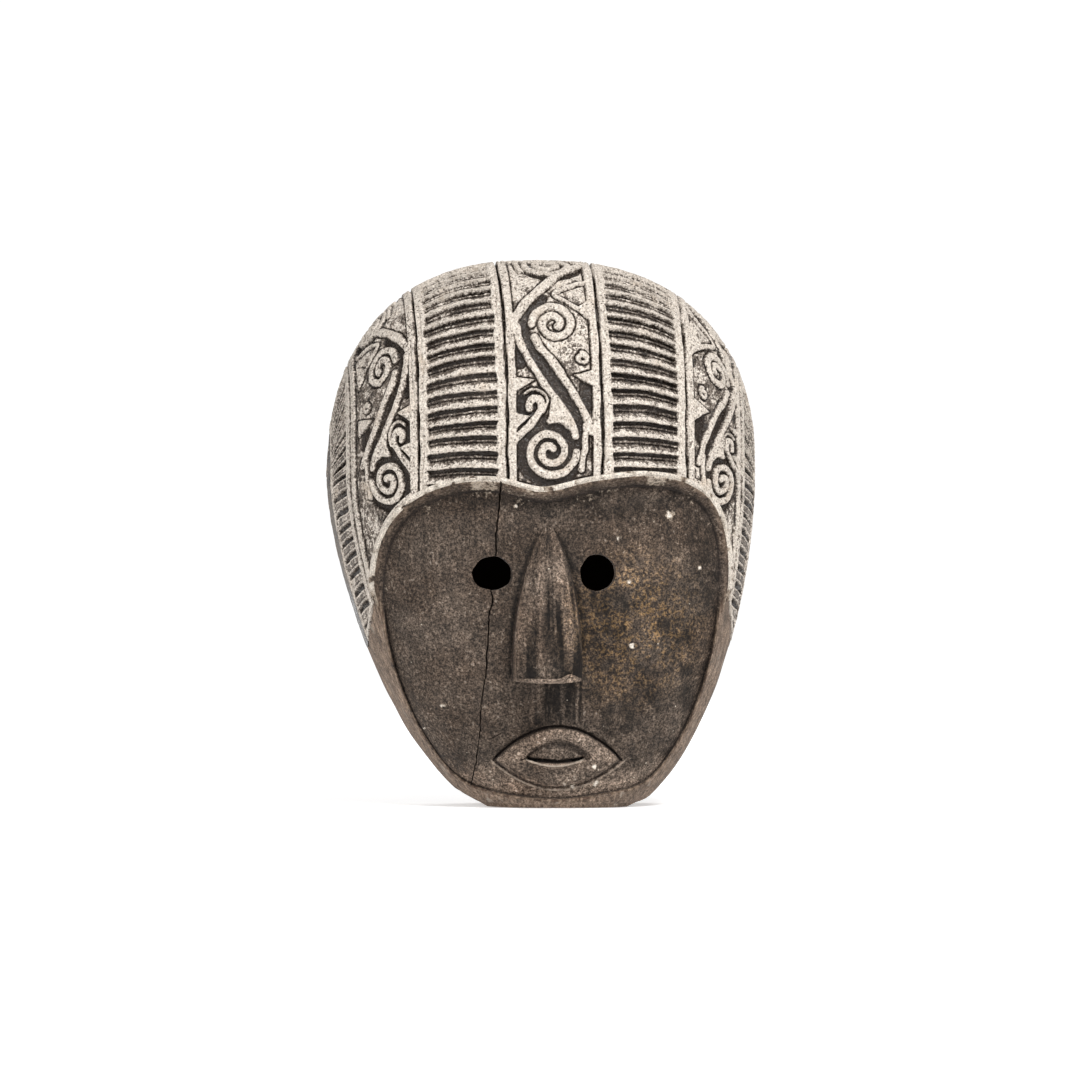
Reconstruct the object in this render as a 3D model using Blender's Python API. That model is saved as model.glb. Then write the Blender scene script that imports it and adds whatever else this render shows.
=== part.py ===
"""Carved wooden face mask with its picture-hanging hardware.

Frame: +Z up, the face looks along -Y, +X is the viewer's right. The origin lies on the flat foot
under the chin, and the flat back of the rim is the plane y = BACK_Y. Lengths are in metres.
"""
import math

import bmesh
import bpy
import numpy as np

# ---- mask block: outline seen from the front
HALF_WIDTH = 0.127
SHOULDER_Z = 0.190  # height of the widest line, where the dome begins
CROWN_HEIGHT = 0.130  # crown above the shoulder line
CHIN_REACH = 0.206  # the lower outline would close this far below the shoulder line
CHIN_DRIFT = 0.009  # the chin leans this far towards +X
DOME_POWER = 2.4
CHEEK_POWER = 3.0
JAW_POWERS = (1.5, 2.3)

# ---- mask block: depths in front of the back plane
BACK_Y = 0.035
BROW_DEPTH = 0.122
FOOT_DEPTH = 0.080
CROWN_DEPTH = 0.050  # the highest line of the dome stands this far in front of the back
BACK_EDGE_HEIGHT = 0.118  # dome height at the back plane, above the shoulder line
CROWN_POWER = 2.6
CROWN_DRIFT = -0.0045  # the crown leans this far towards -X
FACE_DEPTH = 0.112  # recessed face plate, at the brow
FACE_FOOT_DEPTH = 0.0755

# ---- hollow back
RIM_WIDTH = 0.022
HOLLOW_DEPTH = 0.088
HOLLOW_FOOT_DEPTH = 0.052
HOLLOW_HEIGHT = 0.106
HOLLOW_FLOOR_Z = 0.024
CUT_PAST = 0.006  # cutters reach this far past the face they open

# ---- carved cap: band borders as shares of the half width, and the ladder rungs
BAND_BORDERS = (-0.902, -0.60, -0.20, 0.235, 0.63, 0.902)
LADDER_BANDS = ((-0.60, -0.20), (0.235, 0.63))
RAIL_SHARE = 0.026
GROOVE_DEPTH = 0.0022
SLOT_DEPTH = 0.0024
RUNG_PITCH = 0.0088
JAW_ROWS = 16

# ---- face plate edge, as (x, z) in metres, anticlockwise from under the mouth
PLATE_EDGE = (
    (-0.004, 0.0065), (0.030, 0.009), (0.060, 0.018), (0.0825, 0.051), (0.096, 0.095),
    (0.0995, 0.140), (0.094, 0.168), (0.080, 0.182), (0.055, 0.187), (0.025, 0.184),
    (-0.005, 0.178), (-0.035, 0.184), (-0.060, 0.181), (-0.080, 0.170), (-0.092, 0.150),
    (-0.0945, 0.117), (-0.087, 0.080), (-0.070, 0.042), (-0.046, 0.0155),
)
PLATE_EDGE_STEPS = 4
PLATE_RINGS = (1.0, 0.8, 0.55, 0.3)
BROW_BEVEL = 0.006
JAW_BEVEL = 0.002

# ---- eyes, nose and mouth
EYES = ((-0.0334, 0.1370, 0.0107), (0.0277, 0.1373, 0.0103))  # x, z, radius
NOSE_X = -0.0013
NOSE_TOP_Z = 0.1638
NOSE_BASE_Z = 0.0765
NOSE_TOP_HALF_WIDTH = 0.003
NOSE_HALF_WIDTH = 0.0202
NOSE_TOP_PROUD = 0.001
NOSE_PROUD = 0.021
NOSE_STATIONS = (0.0, 0.12, 0.3, 0.5, 0.75, 1.0)
NOSE_FACET = (0.72, 0.85)  # share of the half width and of the height where each facet ends
NOSE_EDGE = 0.0024  # height of the rounded edge under the nose
ROOT = 0.006  # a filler reaches this far under the plate's surface
MOUTH_X = 0.0055
MOUTH_Z = 0.0285
MOUTH_HALF_WIDTH = 0.037
MOUTH_HALF_HEIGHT = 0.0175
MOUTH_POINTS = 12
ALMOND_POWER = 2.2
LIP_PROUD = 0.003
LIP_ROOT = 0.004
SLIT_HALF_WIDTH = 0.016
SLIT_HALF_HEIGHT = 0.003
SLIT_DEPTH = 0.001
CLEAR = 0.02  # cutters stand this far clear in front of the plate

# ---- worn corners under the chin, as (x, z) triangles seen from the front
CHIN_CORNERS = {
    "left": ((-0.060, -0.004), (-0.026, -0.004), (-0.060, 0.014)),
    "right": ((0.036, -0.004), (0.080, -0.004), (0.080, 0.012)),
}

# ---- hanging hardware, let into a pocket in each side of the back rim
HANGER_X = 0.112
HINGE_Z = 0.205
GAP = 0.0003
POCKET_DEPTH = 0.0077
POCKET_HALF_WIDTH = 0.0095
POCKET_BOTTOM_Z = 0.163
POCKET_TOP_Z = 0.228
WIRE_RECESS = 0.012  # the pocket reaches this much further towards the hollow
STRAP_THICK = 0.0012
STRAP_HALF_WIDTH = 0.005
STRAP_BOTTOM_Z = 0.167
RING_WIRE_R = 0.0012
BARREL_R = RING_WIRE_R + GAP + STRAP_THICK
RING_HALF_WIDTH = 0.0073
RING_HEIGHT = 0.012
RING_CORNER_R = 0.0018
RING_SPRING = 0.0045  # height at which the ring's arched top begins
SCREW_Z = (0.175, 0.192)
SCREW_R = 0.0015
SCREW_HEAD_R = 0.0030
SCREW_HEAD_HEIGHT = 0.0019
SCREW_LENGTH = 0.013
SCREW_SIDES = 20
POINT_R = 1e-5
HOLE_CLEARANCE = 0.001  # a pilot hole is this much longer than the screw in it
SLOT_CUT = 0.0008  # depth of the driver slot
SLOT_HALF_WIDTH = 0.0004
WIRE_R = 0.0006
WIRE_RISE = 0.030
WRAP_TURNS = 6
WRAP_PITCH = 0.0026
WRAP_STEPS = 6  # points in each turn of a wrapped tail
WRAP_START = 0.0035  # the wraps begin this far from the ring
WRAP_BITE = 0.00012  # the wraps press this far into the span
LOOP_STEPS = 16
LOOP_LEAD = 0.0008  # half the sideways step of the loop round a ring
WIRE_SIDES = 6
SPAN_POINTS = 33
SPAN_START = 0.0025  # the span begins this far from the ring's middle

POCKET_FLOOR_Y = BACK_Y - POCKET_DEPTH
HINGE_Y = POCKET_FLOOR_Y + GAP + BARREL_R
WIRE_LOOP_R = RING_WIRE_R + GAP + WIRE_R


def clear_scene():
    for obj in list(bpy.data.objects):
        bpy.data.objects.remove(obj, do_unlink=True)


def material(name, colour, roughness, metallic):
    made = bpy.data.materials.new(name)
    made.use_nodes = True
    shader = made.node_tree.nodes["Principled BSDF"]
    shader.inputs["Base Color"].default_value = (*colour, 1.0)
    shader.inputs["Roughness"].default_value = roughness
    shader.inputs["Metallic"].default_value = metallic
    return made


def mesh_object(name, points, faces, finish=None):
    """An object from points and faces, with doubled points merged and faces turned outwards."""
    mesh = bpy.data.meshes.new(name)
    mesh.from_pydata([tuple(point) for point in points], [], faces)
    work = bmesh.new()
    work.from_mesh(mesh)
    bmesh.ops.remove_doubles(work, verts=work.verts, dist=1e-6)
    bmesh.ops.recalc_face_normals(work, faces=work.faces)
    work.to_mesh(mesh)
    work.free()
    obj = bpy.data.objects.new(name, mesh)
    bpy.context.scene.collection.objects.link(obj)
    if finish:
        mesh.materials.append(finish)
    return obj


def helper(obj):
    """Marks an object as a cutter or filler that isn't a piece of its own."""
    obj.hide_render = True
    obj.display_type = "WIRE"
    return obj


def boolean(obj, other, operation):
    step = obj.modifiers.new(f"{operation.lower()}_{other.name}", "BOOLEAN")
    step.operation = operation
    step.object = helper(other)
    step.solver = "EXACT"


# ---------------------------------------------------------------- shape of the block


def arch(s, power):
    """Height of a superellipse arch at s, a share of its half width."""
    return (1.0 - np.abs(s) ** power) ** (1.0 / power)


def below_shoulder(z):
    return np.clip((SHOULDER_Z - z) / SHOULDER_Z, 0.0, 1.0)


def half_width(z):
    drop = np.clip((SHOULDER_Z - z) / CHIN_REACH, 0.0, 1.0)
    return HALF_WIDTH * (1.0 - drop ** JAW_POWERS[0]) ** (1.0 / JAW_POWERS[1])


def centre_x(z):
    return CHIN_DRIFT * below_shoulder(z) ** 1.3


def section_power(z):
    blend = np.clip(2.0 * below_shoulder(z), 0.0, 1.0)
    return DOME_POWER + (CHEEK_POWER - DOME_POWER) * blend * blend * (3.0 - 2.0 * blend)


def depth_at(z, foot, brow):
    return foot + (brow - foot) * (1.0 - below_shoulder(z) ** 1.75)


def jaw_row(s, z, foot, brow, inset=0.0):
    """A level section of the block below the shoulder line."""
    x = centre_x(z) + (half_width(z) - inset) * s
    y = BACK_Y - depth_at(z, foot, brow) * arch(s, section_power(z))
    return np.stack([x, y, np.full_like(x, z)], axis=-1)


def dome_profile():
    """The dome's middle line as (depth, height above the shoulder), from the brow to the back."""
    turn = np.linspace(0.0, math.pi / 2, 400)
    depth = CROWN_DEPTH + (BROW_DEPTH - CROWN_DEPTH) * np.cos(turn) ** (2 / CROWN_POWER)
    height = CROWN_HEIGHT * np.sin(turn) ** (2 / CROWN_POWER)
    back = np.linspace(1.0, 0.0, 60)[1:] * CROWN_DEPTH
    fall = (1.0 - back / CROWN_DEPTH) ** 2
    back_height = CROWN_HEIGHT - (CROWN_HEIGHT - BACK_EDGE_HEIGHT) * fall
    return np.concatenate([depth, back]), np.concatenate([height, back_height])


def dome_stations(count):
    """Points spaced evenly along the dome's middle line, without the first."""
    depth, height = dome_profile()
    run = np.concatenate([[0.0], np.cumsum(np.hypot(np.diff(depth), np.diff(height)))])
    where = np.linspace(0.0, run[-1], count + 1)[1:]
    return np.interp(where, run, depth), np.interp(where, run, height)


def dome_length():
    depth, height = dome_profile()
    return float(np.hypot(np.diff(depth), np.diff(height)).sum())


def crown_drift(height):
    """Sideways lean of the dome at a height above the shoulder line."""
    return CROWN_DRIFT * (height / CROWN_HEIGHT) ** 3


def closed_hull(name, rows, finish=None):
    """A body from level and dome rows: the grid, a flat bottom and a flat back."""
    grid = np.array(rows)
    count, across = grid.shape[:2]
    index = np.arange(count * across).reshape(count, across)
    faces = [
        (index[r, c], index[r, c + 1], index[r + 1, c + 1], index[r + 1, c])
        for r in range(count - 1)
        for c in range(across - 1)
    ]
    faces.append(tuple(index[0]))
    back = [*index[:, 0], *index[-1, 1:], *index[-2::-1, -1]]
    kept = [back[0]]
    for vertex in back[1:]:
        if np.linalg.norm(grid.reshape(-1, 3)[vertex] - grid.reshape(-1, 3)[kept[-1]]) > 1e-6:
            kept.append(vertex)
    faces.append(tuple(kept))
    return mesh_object(name, grid.reshape(-1, 3), [tuple(map(int, f)) for f in faces], finish)


# ---------------------------------------------------------------- carved cap


def cap_columns():
    """Columns across the block, as (share of the half width, kind)."""
    columns = [(-1.0, "edge"), (-0.9985, "rib"), (-0.985, "rib"), (-0.955, "rib")]
    for left, right in zip(BAND_BORDERS, BAND_BORDERS[1:] + (None,)):
        columns += [(left - RAIL_SHARE, "rail"), (left, "groove"), (left + RAIL_SHARE, "rail")]
        if right is None:
            break
        kind = "rung" if (left, right) in LADDER_BANDS else "panel"
        inner = np.linspace(left + RAIL_SHARE, right - RAIL_SHARE, 5)[1:-1]
        if kind == "rung":
            inner = (left + 2 * RAIL_SHARE, (left + right) / 2, right - 2 * RAIL_SHARE)
        columns += [(float(share), kind) for share in inner]
    columns += [(0.955, "rib"), (0.985, "rib"), (0.9985, "rib"), (1.0, "edge")]
    return columns


def inward(grid):
    """Unit vectors into the wood at each grid point."""
    across = np.gradient(grid, axis=1)
    along = np.gradient(grid, axis=0)
    normal = np.cross(across, along)
    size = np.linalg.norm(normal, axis=-1, keepdims=True)
    return -normal / np.maximum(size, 1e-12)


def carve_cap(grid, kinds, first_dome_row):
    """Sinks the grooves between the bands, and every second row of the ladder rungs."""
    depth = np.zeros(grid.shape[:2])
    for column, kind in enumerate(kinds):
        if kind == "groove":
            depth[:, column] = GROOVE_DEPTH
        elif kind == "rung":
            depth[first_dome_row::2, column] = SLOT_DEPTH
        elif kind == "panel":
            depth[:, column] = SLOT_DEPTH / 2
    depth[0] = 0.0
    depth[-2:] = 0.0
    return grid + inward(grid) * depth[..., None]


def block(finish):
    columns = cap_columns()
    shares = np.array([share for share, _ in columns])
    kinds = [kind for _, kind in columns]
    rows = [
        jaw_row(shares, z, FOOT_DEPTH, BROW_DEPTH)
        for z in np.linspace(0.0, SHOULDER_Z, JAW_ROWS + 1)
    ]
    for depth, height in zip(*dome_stations(2 * round(dome_length() / RUNG_PITCH))):
        rise = arch(shares, DOME_POWER)
        x = HALF_WIDTH * shares + crown_drift(height * rise)
        rows.append(np.stack([x, BACK_Y - depth * rise, SHOULDER_Z + height * rise], -1))
    grid = np.array(rows)
    return closed_hull("carved_mask", carve_cap(grid, kinds, JAW_ROWS + 1), finish)


def hollow():
    """The cavity behind the face, open at the back."""
    turn = np.linspace(-math.pi / 2, math.pi / 2, 17)
    shares = np.sign(np.sin(turn)) * np.abs(np.sin(turn)) ** (2 / DOME_POWER)
    past = np.array([0.0, CUT_PAST, 0.0])
    rows = [
        jaw_row(shares, z, HOLLOW_FOOT_DEPTH, HOLLOW_DEPTH, RIM_WIDTH) + past
        for z in np.linspace(HOLLOW_FLOOR_Z, SHOULDER_Z, 9)
    ]
    rise = arch(shares, DOME_POWER)
    for depth, height in zip(*dome_stations(12)):
        deep = depth * HOLLOW_DEPTH / BROW_DEPTH
        high = height * HOLLOW_HEIGHT / CROWN_HEIGHT
        x = (HALF_WIDTH - RIM_WIDTH) * shares + crown_drift(high * rise)
        rows.append(np.stack([x, BACK_Y - deep * rise, SHOULDER_Z + high * rise], -1) + past)
    return closed_hull("hollow_cutter", rows)


# ---------------------------------------------------------------- face plate and features


def smooth_loop(points, steps):
    """A closed Catmull-Rom curve through the points."""
    nodes = np.array(points)
    t = np.linspace(0.0, 1.0, steps, endpoint=False)[:, None]
    curve = []
    for i in range(len(nodes)):
        a, b, c, d = (nodes[(i + k) % len(nodes)] for k in (-1, 0, 1, 2))
        square = (2 * a - 5 * b + 4 * c - d) * t**2
        cube = (3 * b - a - 3 * c + d) * t**3
        curve.append((2 * b + (c - a) * t + square + cube) / 2)
    return np.concatenate(curve)


def surface_y(x, z, foot, brow):
    """The y of the block's or the plate's front surface over the point (x, z) of the front view."""
    share = np.clip((x - centre_x(z)) / half_width(z), -0.995, 0.995)
    return BACK_Y - depth_at(z, foot, brow) * arch(share, section_power(z))


def plate_y(x, z):
    return surface_y(x, z, FACE_FOOT_DEPTH, FACE_DEPTH)


def block_y(x, z):
    return surface_y(x, z, FOOT_DEPTH, BROW_DEPTH)


def face_recess():
    """The wood taken away in front of the face plate, with its bevelled edge."""
    edge = smooth_loop(PLATE_EDGE, PLATE_EDGE_STEPS)
    tangent = np.roll(edge, -1, axis=0) - np.roll(edge, 1, axis=0)
    outward = np.stack([tangent[:, 1], -tangent[:, 0]], -1)
    outward /= np.linalg.norm(outward, axis=1, keepdims=True)
    upper = np.clip((edge[:, 1] - 0.120) / 0.050, 0.0, 1.0)
    width = JAW_BEVEL + (BROW_BEVEL - JAW_BEVEL) * upper
    lip = edge + outward * width[:, None]
    middle = edge.mean(axis=0)
    rings = [
        [(x, block_y(x, z) - BROW_DEPTH, z) for x, z in lip],
        [(x, block_y(x, z), z) for x, z in lip],
    ]
    for size in PLATE_RINGS:
        ring = middle + (edge - middle) * size
        rings.append([(x, plate_y(x, z), z) for x, z in ring])
    points = np.array(rings).reshape(-1, 3)
    around = len(edge)
    index = np.arange(len(points)).reshape(-1, around)
    faces = [
        (index[r, k], index[r, (k + 1) % around], index[r + 1, (k + 1) % around], index[r + 1, k])
        for r in range(len(rings) - 1)
        for k in range(around)
    ]
    centre = len(points)
    points = np.vstack([points, [(middle[0], plate_y(*middle), middle[1])]])
    faces += [(index[-1, k], index[-1, (k + 1) % around], centre) for k in range(around)]
    faces.append(tuple(index[0]))
    return mesh_object("face_recess_cutter", points, [tuple(map(int, face)) for face in faces])


def lofted(name, sections):
    """A closed body through polygon sections with the same number of points."""
    points = np.array(sections).reshape(-1, 3)
    around = len(sections[0])
    faces = []
    for low in range(0, len(points) - around, around):
        for k in range(around):
            after = (k + 1) % around
            faces.append((low + k, low + after, low + around + after, low + around + k))
    faces += [tuple(range(around)), tuple(range(len(points) - around, len(points)))]
    return mesh_object(name, points, faces)


def nose():
    """A wedge that widens and stands further out towards its base."""
    facet_share, facet_height = NOSE_FACET
    sections = []
    for share in NOSE_STATIONS:
        z = NOSE_TOP_Z + (NOSE_BASE_Z - NOSE_TOP_Z) * share
        wider = 1.0 - (1.0 - share) ** 3
        half = NOSE_TOP_HALF_WIDTH + (NOSE_HALF_WIDTH - NOSE_TOP_HALF_WIDTH) * wider
        proud = NOSE_TOP_PROUD + (NOSE_PROUD - NOSE_TOP_PROUD) * share
        root = float(plate_y(NOSE_X, z))
        profile = (
            (-1.0, root + ROOT),
            (-1.0, root),
            (-facet_share, root - facet_height * proud),
            (0.0, root - proud),
        )
        right = [(-dx, y) for dx, y in reversed(profile[:-1])]
        sections.append([(NOSE_X + dx * half, y, z) for dx, y in [*profile, *right]])
    under = [(x, y + NOSE_EDGE / 2, z - NOSE_EDGE) for x, y, z in sections[-1]]
    return lofted("nose_filler", [*sections, under])


def almond(half_w, half_h):
    """A lens outline with pointed corners, centred on the origin."""
    across = np.linspace(-1.0, 1.0, MOUTH_POINTS + 1)
    rise = 1.0 - np.abs(across) ** ALMOND_POWER
    top = [(half_w * u, half_h * r) for u, r in zip(across, rise)]
    bottom = [(half_w * u, -half_h * r) for u, r in zip(across[-2:0:-1], rise[-2:0:-1])]
    return [*top, *bottom]


def mouth_part(name, half_w, half_h, front, behind):
    """An almond prism over the plate, from `behind` under its surface to `front` above it."""
    outline = [(MOUTH_X + x, MOUTH_Z + z) for x, z in almond(half_w, half_h)]
    near = [(x, float(plate_y(x, z)) - front, z) for x, z in outline]
    far = [(x, float(plate_y(x, z)) + behind, z) for x, z in outline]
    return lofted(name, [near, far])


def rod(name, radius, start, length, axis, sides=20):
    """A plain cylinder from `start` along +X, +Y or +Z."""
    turn = np.linspace(0.0, 2 * math.pi, sides, endpoint=False)
    ring = np.zeros((sides, 3))
    ring[:, (axis + 1) % 3] = radius * np.cos(turn)
    ring[:, (axis + 2) % 3] = radius * np.sin(turn)
    far = np.zeros(3)
    far[axis] = length
    return lofted(name, [np.array(start) + ring, np.array(start) + ring + far])


def box(name, low, high):
    (x0, y0, z0), (x1, y1, z1) = low, high
    near = [(x0, y0, z0), (x1, y0, z0), (x1, y0, z1), (x0, y0, z1)]
    far = [(x, y1, z) for x, _, z in near]
    return lofted(name, [near, far])


def chin_corner(side):
    """The wood worn off one corner of the foot."""
    outline = CHIN_CORNERS[side]
    near = [(x, -BROW_DEPTH, z) for x, z in outline]
    far = [(x, BACK_Y + CUT_PAST, z) for x, z in outline]
    return lofted(f"chin_cutter_{side}", [near, far])


def hanger_pocket(side):
    """The recess in the back rim, open towards the hollow so that the wire can leave it."""
    inner = side * (HANGER_X - POCKET_HALF_WIDTH - WIRE_RECESS)
    outer = side * (HANGER_X + POCKET_HALF_WIDTH)
    low = (min(inner, outer), POCKET_FLOOR_Y, POCKET_BOTTOM_Z)
    high = (max(inner, outer), BACK_Y + CUT_PAST, POCKET_TOP_Z)
    return box(f"pocket_cutter_{'right' if side > 0 else 'left'}", low, high)


def carved_mask(finish):
    mask = block(finish)
    boolean(mask, face_recess(), "DIFFERENCE")
    boolean(mask, nose(), "UNION")
    lips = mouth_part("lips_filler", MOUTH_HALF_WIDTH, MOUTH_HALF_HEIGHT, LIP_PROUD, LIP_ROOT)
    boolean(mask, lips, "UNION")
    slit = mouth_part("slit_cutter", SLIT_HALF_WIDTH, SLIT_HALF_HEIGHT, CLEAR, SLIT_DEPTH)
    boolean(mask, slit, "DIFFERENCE")
    boolean(mask, hollow(), "DIFFERENCE")
    for side in CHIN_CORNERS:
        boolean(mask, chin_corner(side), "DIFFERENCE")
    for side, (x, z, radius) in zip(("left", "right"), EYES):
        start = (x, -BROW_DEPTH, z)
        eye = rod(f"eye_cutter_{side}", radius, start, BROW_DEPTH + BACK_Y, 1)
        boolean(mask, eye, "DIFFERENCE")
    for side in (-1, 1):
        boolean(mask, hanger_pocket(side), "DIFFERENCE")
        for number, z in enumerate(SCREW_Z, 1):
            hole = rod(
                f"pilot_cutter_{side}_{number}", SCREW_R + GAP,
                (side * HANGER_X, POCKET_FLOOR_Y - SCREW_LENGTH, z), SCREW_LENGTH + CUT_PAST, 1, 12,
            )
            boolean(mask, hole, "DIFFERENCE")
    return mask


# ---------------------------------------------------------------- hardware


def hanger_strap(name, x, finish):
    """A flat strap with two screw holes, its top end rolled round the ring's straight side."""
    plate_y0 = POCKET_FLOOR_Y + GAP
    strap = box(
        name,
        (x - STRAP_HALF_WIDTH, plate_y0, STRAP_BOTTOM_Z),
        (x + STRAP_HALF_WIDTH, plate_y0 + STRAP_THICK, HINGE_Z),
    )
    strap.data.materials.append(finish)
    start = (x - STRAP_HALF_WIDTH, HINGE_Y, HINGE_Z)
    barrel = rod(f"{name}_barrel", BARREL_R, start, 2 * STRAP_HALF_WIDTH, 0, 24)
    boolean(strap, barrel, "UNION")
    start = (x - 2 * STRAP_HALF_WIDTH, HINGE_Y, HINGE_Z)
    eye = rod(f"{name}_eye_cutter", RING_WIRE_R + GAP, start, 4 * STRAP_HALF_WIDTH, 0)
    boolean(strap, eye, "DIFFERENCE")
    for number, z in enumerate(SCREW_Z, 1):
        start = (x, plate_y0 - STRAP_THICK, z)
        hole = rod(f"{name}_hole_cutter_{number}", SCREW_R + GAP, start, 3 * STRAP_THICK, 1, 16)
        boolean(strap, hole, "DIFFERENCE")
    return strap


def screw(name, x, z, finish):
    """A pan-head screw: a profile turned about its own axis, then laid along -Y."""
    head_y = GAP + STRAP_THICK + GAP
    shank = SCREW_LENGTH - HOLE_CLEARANCE
    profile = (
        (POINT_R, head_y + SCREW_HEAD_HEIGHT),
        (0.6 * SCREW_HEAD_R, head_y + 0.92 * SCREW_HEAD_HEIGHT),
        (SCREW_HEAD_R, head_y + 0.45 * SCREW_HEAD_HEIGHT),
        (SCREW_HEAD_R, head_y),
        (SCREW_R, head_y),
        (SCREW_R, -0.7 * shank),
        (POINT_R, -shank),
    )
    turn = np.linspace(0.0, 2 * math.pi, SCREW_SIDES, endpoint=False)
    sections = [[(r * math.cos(a), y, r * math.sin(a)) for a in turn] for r, y in profile]
    made = lofted(name, sections)
    made.location = (x, POCKET_FLOOR_Y, z)
    made.data.materials.append(finish)
    floor_y = head_y + SCREW_HEAD_HEIGHT - SLOT_CUT
    low = (-CLEAR, floor_y, -SLOT_HALF_WIDTH)
    high = (CLEAR, floor_y + CLEAR, SLOT_HALF_WIDTH)
    slot = box(f"{name}_slot_cutter", low, high)
    slot.location = made.location
    boolean(made, slot, "DIFFERENCE")
    return made


def swept(name, path, radius, sides, closed):
    """A round wire along a path of points."""
    path = np.array(path)
    ahead = np.roll(path, -1, axis=0) - np.roll(path, 1, axis=0)
    if not closed:
        ahead[0] = path[1] - path[0]
        ahead[-1] = path[-1] - path[-2]
    ahead /= np.linalg.norm(ahead, axis=1, keepdims=True)
    turn = np.linspace(0.0, 2 * math.pi, sides, endpoint=False)
    side = np.cross(ahead[0], (0.31, 0.52, 0.79))
    sections = []
    for point, forward in zip(path, ahead):
        side = side - forward * float(side @ forward)
        side /= np.linalg.norm(side)
        up = np.cross(forward, side)
        sections.append([point + radius * (math.cos(a) * side + math.sin(a) * up) for a in turn])
    if not closed:
        return lofted(name, sections)
    points = np.array(sections).reshape(-1, 3)
    count = len(sections)
    shift = min(range(sides), key=lambda k: np.linalg.norm(sections[-1][0] - sections[0][k]))
    faces = []
    for r in range(count):
        twist = shift if r == count - 1 else 0
        after = (r + 1) % count
        for k in range(sides):
            faces.append((
                r * sides + k, r * sides + (k + 1) % sides,
                after * sides + (k + 1 + twist) % sides, after * sides + (k + twist) % sides,
            ))
    return mesh_object(name, points, faces)


def ring_path():
    """The D-ring's middle line about its hinge: a straight side, two corners and an arched top."""
    corner, spring = RING_CORNER_R, RING_SPRING
    inner = RING_HALF_WIDTH - corner
    quarter = np.linspace(0, math.pi / 2, 5)
    right = [(inner + corner * math.sin(a), corner - corner * math.cos(a)) for a in quarter]
    arc = [
        (RING_HALF_WIDTH * math.cos(a), spring + (RING_HEIGHT - spring) * math.sin(a))
        for a in np.linspace(0, math.pi, 17)
    ]
    left = [(-x, z) for x, z in reversed(right)]
    return [(x, 0.0, z) for x, z in [*right, *arc, *left]]


def d_ring(name, x, finish):
    ring = swept(name, ring_path(), RING_WIRE_R, 12, True)
    ring.location = (x, HINGE_Y, HINGE_Z)
    ring.data.materials.append(finish)
    ring.data.shade_smooth()
    return ring


def wire_span(x):
    """Height of the wire over the rings' tops, at x."""
    return WIRE_RISE * (1.0 - (x / HANGER_X) ** 2)


def wire_end(side):
    """One end of the wire, from its tail's wraps to the loop round the ring and on to the span."""
    wraps = []
    wrap_r = 2 * WIRE_R - WRAP_BITE
    for k in range(WRAP_TURNS * WRAP_STEPS, -1, -1):
        x = HANGER_X - WRAP_START - WRAP_PITCH * k / WRAP_STEPS
        angle = 2 * math.pi * k / WRAP_STEPS + math.pi
        z = WIRE_LOOP_R + wire_span(x) + wrap_r * math.sin(angle)
        wraps.append((side * x, wrap_r * math.cos(angle), z))
    loop = []
    for k in range(1, LOOP_STEPS):
        angle = math.pi / 2 - 2 * math.pi * k / LOOP_STEPS
        x = side * (HANGER_X + LOOP_LEAD - 2 * LOOP_LEAD * k / LOOP_STEPS)
        loop.append((x, WIRE_LOOP_R * math.cos(angle), WIRE_LOOP_R * math.sin(angle)))
    return wraps, loop


def hanging_wire(finish):
    """Picture wire: a bowed span with a loop and a wrapped tail at each ring."""
    reach = HANGER_X - SPAN_START
    across = np.linspace(-reach, reach, SPAN_POINTS)
    span = [(x, 0.0, WIRE_LOOP_R + wire_span(x)) for x in across]
    left_wraps, left_loop = wire_end(-1)
    right_wraps, right_loop = wire_end(1)
    middle = [*left_loop, *span, *reversed(right_loop)]
    wire = swept("hanging_wire", middle, WIRE_R, WIRE_SIDES, False)
    wire.location = (0.0, HINGE_Y, HINGE_Z + RING_HEIGHT)
    wire.data.materials.append(finish)
    wire.data.shade_smooth()
    for name, wraps, loop in (("left", left_wraps, left_loop), ("right", right_wraps, right_loop)):
        tail = swept(f"tail_filler_{name}", [*wraps, *loop[:3]], WIRE_R * 0.98, WIRE_SIDES - 1, False)
        tail.location = wire.location
        boolean(wire, tail, "UNION")
    return wire


def build():
    clear_scene()
    wood = material("weathered_wood", (0.20, 0.16, 0.13), 0.85, 0.0)
    plate = material("zinc_plate", (0.42, 0.40, 0.36), 0.45, 0.9)
    steel = material("steel_wire", (0.38, 0.37, 0.36), 0.4, 0.9)
    brass = material("yellow_zinc", (0.50, 0.41, 0.24), 0.4, 0.9)
    carved_mask(wood)
    for side, x in (("left", -HANGER_X), ("right", HANGER_X)):
        hanger_strap(f"{side}_hanger_strap", x, plate)
        d_ring(f"{side}_hanger_ring", x, plate)
        for place, z in zip(("lower", "upper"), SCREW_Z):
            screw(f"{side}_{place}_screw", x, z, brass)
    hanging_wire(steel)


build()
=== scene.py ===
"""The carved wooden mask's looks: relief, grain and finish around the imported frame."""
import math

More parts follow.
